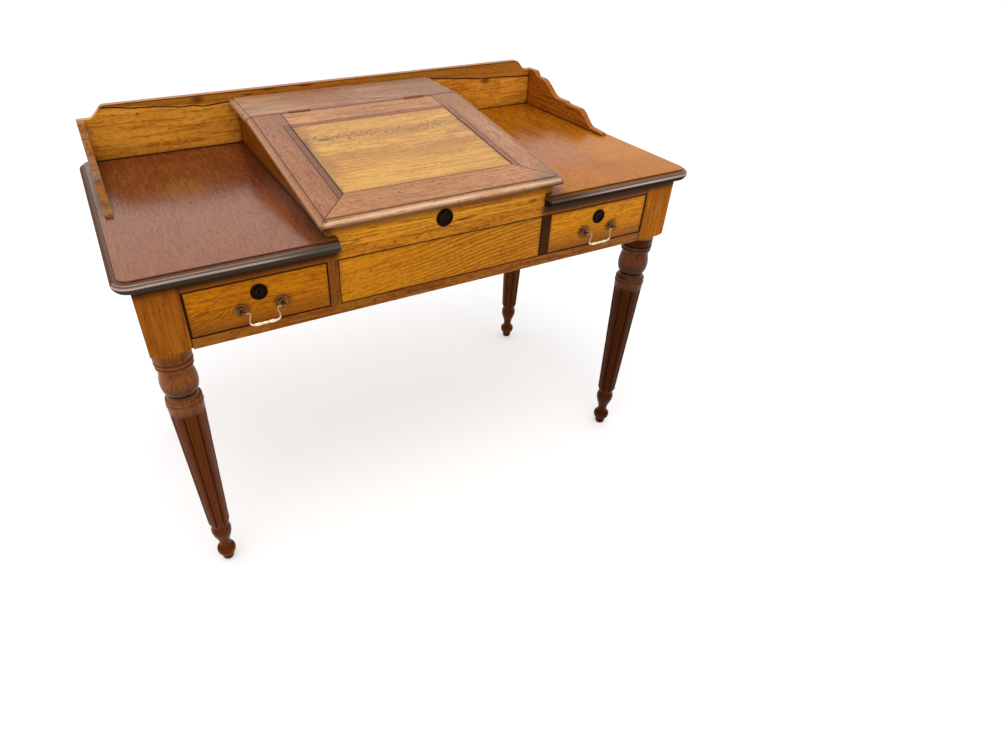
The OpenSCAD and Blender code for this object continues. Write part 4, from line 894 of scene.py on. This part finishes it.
# %% Fixed board
SCRATCHES = [
    ((-0.250, 0.197), (-0.209, 0.190), 0.0022, 0.002, 0.8, (64, 50, 38)),
    ((0.145, 0.214), (0.200, 0.206), 0.0030, 0.003, 0.6, (70, 56, 44)),
    ((0.020, 0.203), (0.080, 0.196), 0.0020, 0.002, 0.5, (70, 56, 44)),
]
worn = Board("hinge_board", X, 67, heart=(0.2, 0.84))
scuffed = worn.fibres(6, 70, 4, 0.7).rise(0.44, 0.62)
dark_scuff = worn.fibres(9, 150, 3, 0.7).rise(0.53, 0.68)
hinge_strip = (1 - worn.y.rise(HINGE_Y + 0.006, HINGE_Y + 0.012)) * worn.z.rise(0.846, 0.850)
marks = [
    (1 - worn.x.rise(-0.25, 0.0), colour(202, 144, 100)),
    (worn.x.rise(0.0, 0.22) * 0.6, colour(146, 106, 74)),
    (worn.spot((-0.075, 0.232), 0.085, (X, Y), 1.5) * 0.6, colour(150, 84, 44)),
    (scuffed * 0.75, colour(152, 118, 86)),
    (dark_scuff * 0.65, colour(84, 58, 40)),
    *((worn.seam(start, end, width, (X, Y), wobble) * share, colour(*shade))
      for start, end, width, wobble, share, shade in SCRATCHES),
    (hinge_strip * 0.6, colour(118, 64, 44)),
]
dress(["hinge_board"], varnished(worn, tones(182, 126, 88), ring=0.45, streak=1.0, mottle=0.95, rim=0.0,
                                 gloss=0.42, shine=0.35, tint=WARM, marks=marks))
print("fixed board with", len(SCRATCHES), "scratches")

# %% [markdown]
# ## Legs
# The square blocks are honey pine like the rails. Below them the turned parts are much darker,
# where hands and mops have fed the wood, and the columns are the darkest. The ball has a painted
# highlight round its belly and painted shade below it, and the collar under the block gets painted
# shade. Turning cuts through the rings, and dirt and painted shade sit in every groove, which the
# corner measure finds. The top of each block gets the painted shadow of the wing's moulding. All
# bands are heights from the foot of the block, so one recipe serves the four legs.

# %% Leg colours
BLOCK_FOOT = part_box("lower_rail")[0].z
COLUMN_DROP = 0.142
# Lowest and highest point of each painted band, from the block's foot, and the softness of its borders
COLLAR_SHADE, BELLY_HIGHLIGHT, UNDER_BALL_SHADE = (-0.030, -0.006, 0.003), (-0.072, -0.058, 0.007), (-0.108, -0.081, 0.007)
GRIME_AND_SHADE = colour(34, 14, 6)
LEGS = {
    "front_left_leg": ((152, 82, 18), (126, 69, 24), (98, 43, 8)),
    # The front right leg's turned parts are darker, partly as painted shade
    "front_right_leg": ((170, 94, 10), (92, 48, 15), (65, 25, 4)),
    "rear_left_leg": ((150, 88, 22), (94, 48, 17), (88, 44, 15)),
    "rear_right_leg": ((150, 88, 22), (94, 48, 17), (88, 44, 15)),
}


def block_pine(leg, honey):
    """The honey pine of the square block."""
    body = leg.mix(leg.streaks.rise(0.40, 0.66) * 0.6, honey["pale"], honey["late"])
    body = leg.mix(leg.rings * 0.3, body, honey["late"])
    return leg.mix(leg.pits * 0.4, body, honey["pit"])


def inner_joint(leg):
    """The black line at the block's inner edge, where the rails are tenoned in."""
    inward = leg.high.x - leg.x if leg.high.x < 0 else leg.x - leg.low.x
    return 1 - inward.rise(0.0010, 0.0026)


print("block foot at", round(BLOCK_FOOT, 3), "m, columns from", round(BLOCK_FOOT - COLUMN_DROP, 3))

# %% Legs
for seed, (name, (block_tone, ring_tone, column_tone)) in enumerate(LEGS.items(), 71):
    low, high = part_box(name)
    middle = (low + high) / 2
    leg = Board(name, Z, seed, heart=(middle.x + 0.012, middle.y + 0.05), skew=0.01, ring=0.005)
    up_leg = leg.z - BLOCK_FOOT
    block = up_leg.rise(-0.012, -0.004)
    column = 1 - up_leg.rise(-COLUMN_DROP - 0.01, -COLUMN_DROP + 0.01)
    collar_shade, belly_highlight, under_ball_shade = (up_leg.between(*band) for band in (COLLAR_SHADE, BELLY_HIGHLIGHT, UNDER_BALL_SHADE))
    turned = (1 - block) * (1 - column)
    dark = tones(*column_tone)
    shaft = leg.mix(leg.streaks.rise(0.45, 0.65) * 0.5, dark["mid"], dark["late"])
    # Dirt, and painted shade, in the grooves of the turned parts
    groove_dirt_and_shade = leg.corners(0.006).rise(0.12, 0.55) * (1 - block)
    beside_rail = leg.z.rise(top_rail.low.z, top_rail.low.z + 0.004)
    top_shadow = leg.z.rise(top_rail.high.z - 0.019, top_rail.high.z - 0.008)
    marks = [
        (column * 0.95, shaft),
        (block, block_pine(leg, tones(*block_tone))),
        (groove_dirt_and_shade * 0.8, GRIME_AND_SHADE),
        (leg.blotches.rise(0.48, 0.62) * turned * 0.45, colour(*ring_tone, share=1.35)),
        (beside_rail * 0.45, colour(104, 50, 12)),
        # The painted shadow of the wing's moulding on the top of the block
        (top_shadow * 0.85, GRIME_AND_SHADE),
        (inner_joint(leg) * block * 0.9, colour(26, 12, 6)),
        # Painted shade on the collar under the block, strong on the right-hand legs
        (collar_shade * (0.12 if middle.x < 0 else 0.80), colour(40, 16, 6)),
        # A painted highlight round the ball's belly and painted shade under the ball
        (belly_highlight * 0.12, colour(*ring_tone, share=1.5)),
        (under_ball_shade * 0.65, colour(*ring_tone, share=0.42)),
    ]
    dress([name], varnished(leg, tones(*ring_tone), ring=0.4, streak=0.7, dirt_and_shade=1.25, rim=0.0,
                            edge_wear_and_highlight=0.8, shine=0.1, coat=turned * (1 - collar_shade) * 0.18, marks=marks))
print("legs", len(LEGS), "with", len(marks), "marks each")

# %% [markdown]
# ## Dividers, escutcheons and hidden wood
# The two dividers beside the middle panel are odd ones: the left is plain brown, the right almost
# black. The escutcheons are turned from a nearly black wood. Inside, all wood is bare pine, and
# boards with the same grain share one finish, because nobody compares them.

# %% Dark and bare wood
dress(["left_divider"], varnished(Board("left_divider", Z, 81), tones(136, 76, 22), rim=0.6))
dress(["right_divider"], varnished(Board("right_divider", Z, 82), tones(66, 32, 10), rim=0.5, shine=0.1))
for seed, name in enumerate(("lid_escutcheon", "left_drawer_escutcheon", "right_drawer_escutcheon"), 84):
    wood = Board(name, Z, seed)
    # A painted highlight on the worn edges of the rim
    marks = [(wood.arris_wear_and_highlight * 0.15, colour(112, 82, 64))]
    dress([name], varnished(wood, tones(15, 8, 6), rim=0.0, edge_wear_and_highlight=0.6, shine=0.07, gloss=0.35,
                            marks=marks))
BARE_BOARDS = {
    Y: ["left_partition", "right_partition", "well_bottom", "drawer_runners", "drawer_kickers",
        "left_drawer_sides", "right_drawer_sides"],
    X: ["drawer_stops", "left_drawer_back", "right_drawer_back", "left_drawer_bottom",
        "right_drawer_bottom"],
}
for grain, names in BARE_BOARDS.items():
    bare = Board(names[0], grain, 90 + grain, heart=(0.3, 0.4))
    dress(names, varnished(bare, tones(200, 160, 108), rim=0.0, gloss=0.6, pit=0.3, tint=WARM))
dress(["box_back"], varnished(Board("box_back", X, 97), tones(150, 96, 48), rim=0.0, gloss=0.55))
print("bare pine on", sum(map(len, BARE_BOARDS.values())), "nodes")

# %% [markdown]
# ## Bronze handles, brass locks and steel pins
# The bails have a brown patina that the hand has rubbed off the grip, so the grip shines nearly
# white. Metal needs little colour and much to mirror. The patina is a noise that lowers the
# metal's share of the surface and makes it rougher.

# %% Metal
GRIP_TOP = (0.630, 0.636)


def metal(name, bright, dull, gloss, tarnish, moulding_highlight=None):
    finish = Finish(name)
    cloud = finish.noise(finish.place, 260, 4, 0.65)
    patina = (cloud.rise(0.35, 0.7) * tarnish + finish.corners(0.004) * 1.7).within()
    scratches = finish.noise(finish.stretched(finish.place, along(X, 300, 2400)), 1, 2)
    body = finish.mix(patina, colour(*bright), colour(*dull))
    if moulding_highlight:
        grip = 1 - finish.axes(finish.place)[Z].rise(*GRIP_TOP)
        body = finish.mix(grip, body, colour(*moulding_highlight))
    return finish.give(
        Base_Color=body,
        Metallic=1 - patina * 0.3,
        Roughness=(gloss + patina * 0.2 + scratches * 0.08).within(),
        Normal=finish.bump(cloud + scratches * 0.4, 0.0001, 0.4),
    )


METALS = {
    "bronze": (["left_handle_posts", "right_handle_posts"], (138, 93, 54), (26, 13, 6), 0.22, 0.5),
    "rubbed_bronze": (["left_bail", "right_bail"], (190, 156, 118), (88, 60, 40), 0.2, 0.5,
                      (244, 222, 184)),
    "lock_brass": (["left_drawer_lock", "right_drawer_lock", "left_lock_bolt", "right_lock_bolt",
                    "lid_lock_case", "lid_lock_bolt", "lid_strike"],
                   (206, 168, 96), (120, 90, 48), 0.35, 0.6),
    "dark_bronze": (["fixed_hinge_leaves", "lid_hinge_leaves"], (150, 104, 82), (132, 88, 68), 0.6, 0.8),
    "steel_pins": (["hinge_pins"], (150, 104, 82), (126, 82, 62), 0.5, 0.7),
}
for name, (nodes, *recipe) in METALS.items():
    dress(nodes, metal(name, *recipe))
    print(name, "on", len(nodes), "nodes")

# %% [markdown]
# ## Soft edges
# No old board has a knife-sharp edge. A Bevel modifier rounds each one by about half a
# millimetre, and where two boards meet flush the two small rounds make the fine joint line that
# the eye expects. The solids come in with their corners split, so a Weld goes first. Metal and
# other small parts stay sharp, because such a round would be too large for them.

# %% Edges
LEG_EDGE, BOARD_EDGE = 0.0004, 0.0007
SMALL = ("bail", "posts", "lock", "bolt", "hinge_leaves", "pins", "escutcheon", "strike")
boards = {name: node for name, node in frame["nodes"].items() if not any(word in name for word in SMALL)}
for name, node in boards.items():
    weld = node.modifiers.new("weld", "WELD")
    weld.merge_threshold = 0.00001
    bevel = node.modifiers.new("soft edge", "BEVEL")
    bevel.width = LEG_EDGE if name.endswith("leg") else BOARD_EDGE
    bevel.segments = 2
    bevel.limit_method = "ANGLE"
    bevel.angle_limit = math.radians(40)
    bevel.harden_normals = True
print("edges softened on", len(boards), "nodes")

# %% [markdown]
# ## Light
# The desk stands in open shade, under a sky that is brightest overhead. The world gives even
# light from all sides, and one large lamp above gives the bright part of the sky: it makes the
# tops lighter than the fronts, shades the fronts under the mouldings, and draws the long soft
# lights on every rounded edge. To the camera and to mirrors the world is plain white, through
# Light Path, so that no extra light has to bleach the background.

# %% Light
SKY = 0.75
WHITE = (1, 1, 1, 1)
scene = bpy.context.scene
scene.view_settings.view_transform = "Standard"
scene.world = bpy.data.worlds.new("open shade")
scene.world.use_nodes = True
sky = Tree(scene.world.node_tree)
sky.tree.nodes.clear()
shade, plain = (sky.node("ShaderNodeBackground", {}, {"Color": WHITE, "Strength": strength})
                for strength in (SKY, 1.0))
chosen = sky.node("ShaderNodeMixShader", {}, {0: sky.seen_directly(), 1: shade, 2: plain})
sky.node("ShaderNodeOutputWorld", {}, {"Surface": chosen})

lamp = bpy.data.lights.new("sky overhead", "AREA")
lamp.shape, lamp.size, lamp.energy = "DISK", 3.0, 45
holder = bpy.data.objects.new("sky overhead", lamp)
scene.collection.objects.link(holder)
holder.location = (-0.7, -1.2, 4.2)
holder.rotation_euler = (Vector((0, 0, 0.7)) - holder.location).to_track_quat("-Z", "Y").to_euler()
print("lamp", lamp.energy, "W, sky", SKY)

# %% [markdown]
# ## Floor
# The floor is pale and keeps the desk's soft shadow. A white wall of light behind the desk could
# hide the horizon, but it would light the desk from behind. Instead the floor adds a little
# white to what the camera sees of it, which lifts it to the white of the background.

# %% Floor
FLOOR = 14.0
PALE, LIFT = 0.86, 0.36
floor_mesh = bpy.data.meshes.new("floor")
corners = [(x * FLOOR, y * FLOOR, 0) for x, y in ((-1, -1), (1, -1), (1, 1), (-1, 1))]
floor_mesh.from_pydata(corners, [], [(0, 1, 2, 3)])
floor = bpy.data.objects.new("floor", floor_mesh)
scene.collection.objects.link(floor)
pale_floor = Finish("pale_floor")
glow = pale_floor.mix(pale_floor.seen_directly(), (0, 0, 0, 1), (LIFT, LIFT, LIFT, 1))
floor_mesh.materials.append(pale_floor.give(
    Base_Color=(PALE, PALE, PALE, 1), Roughness=0.9, Specular_IOR_Level=0.1,
    Emission_Color=glow, Emission_Strength=1.0))
print("floor", 2 * FLOOR, "m wide")
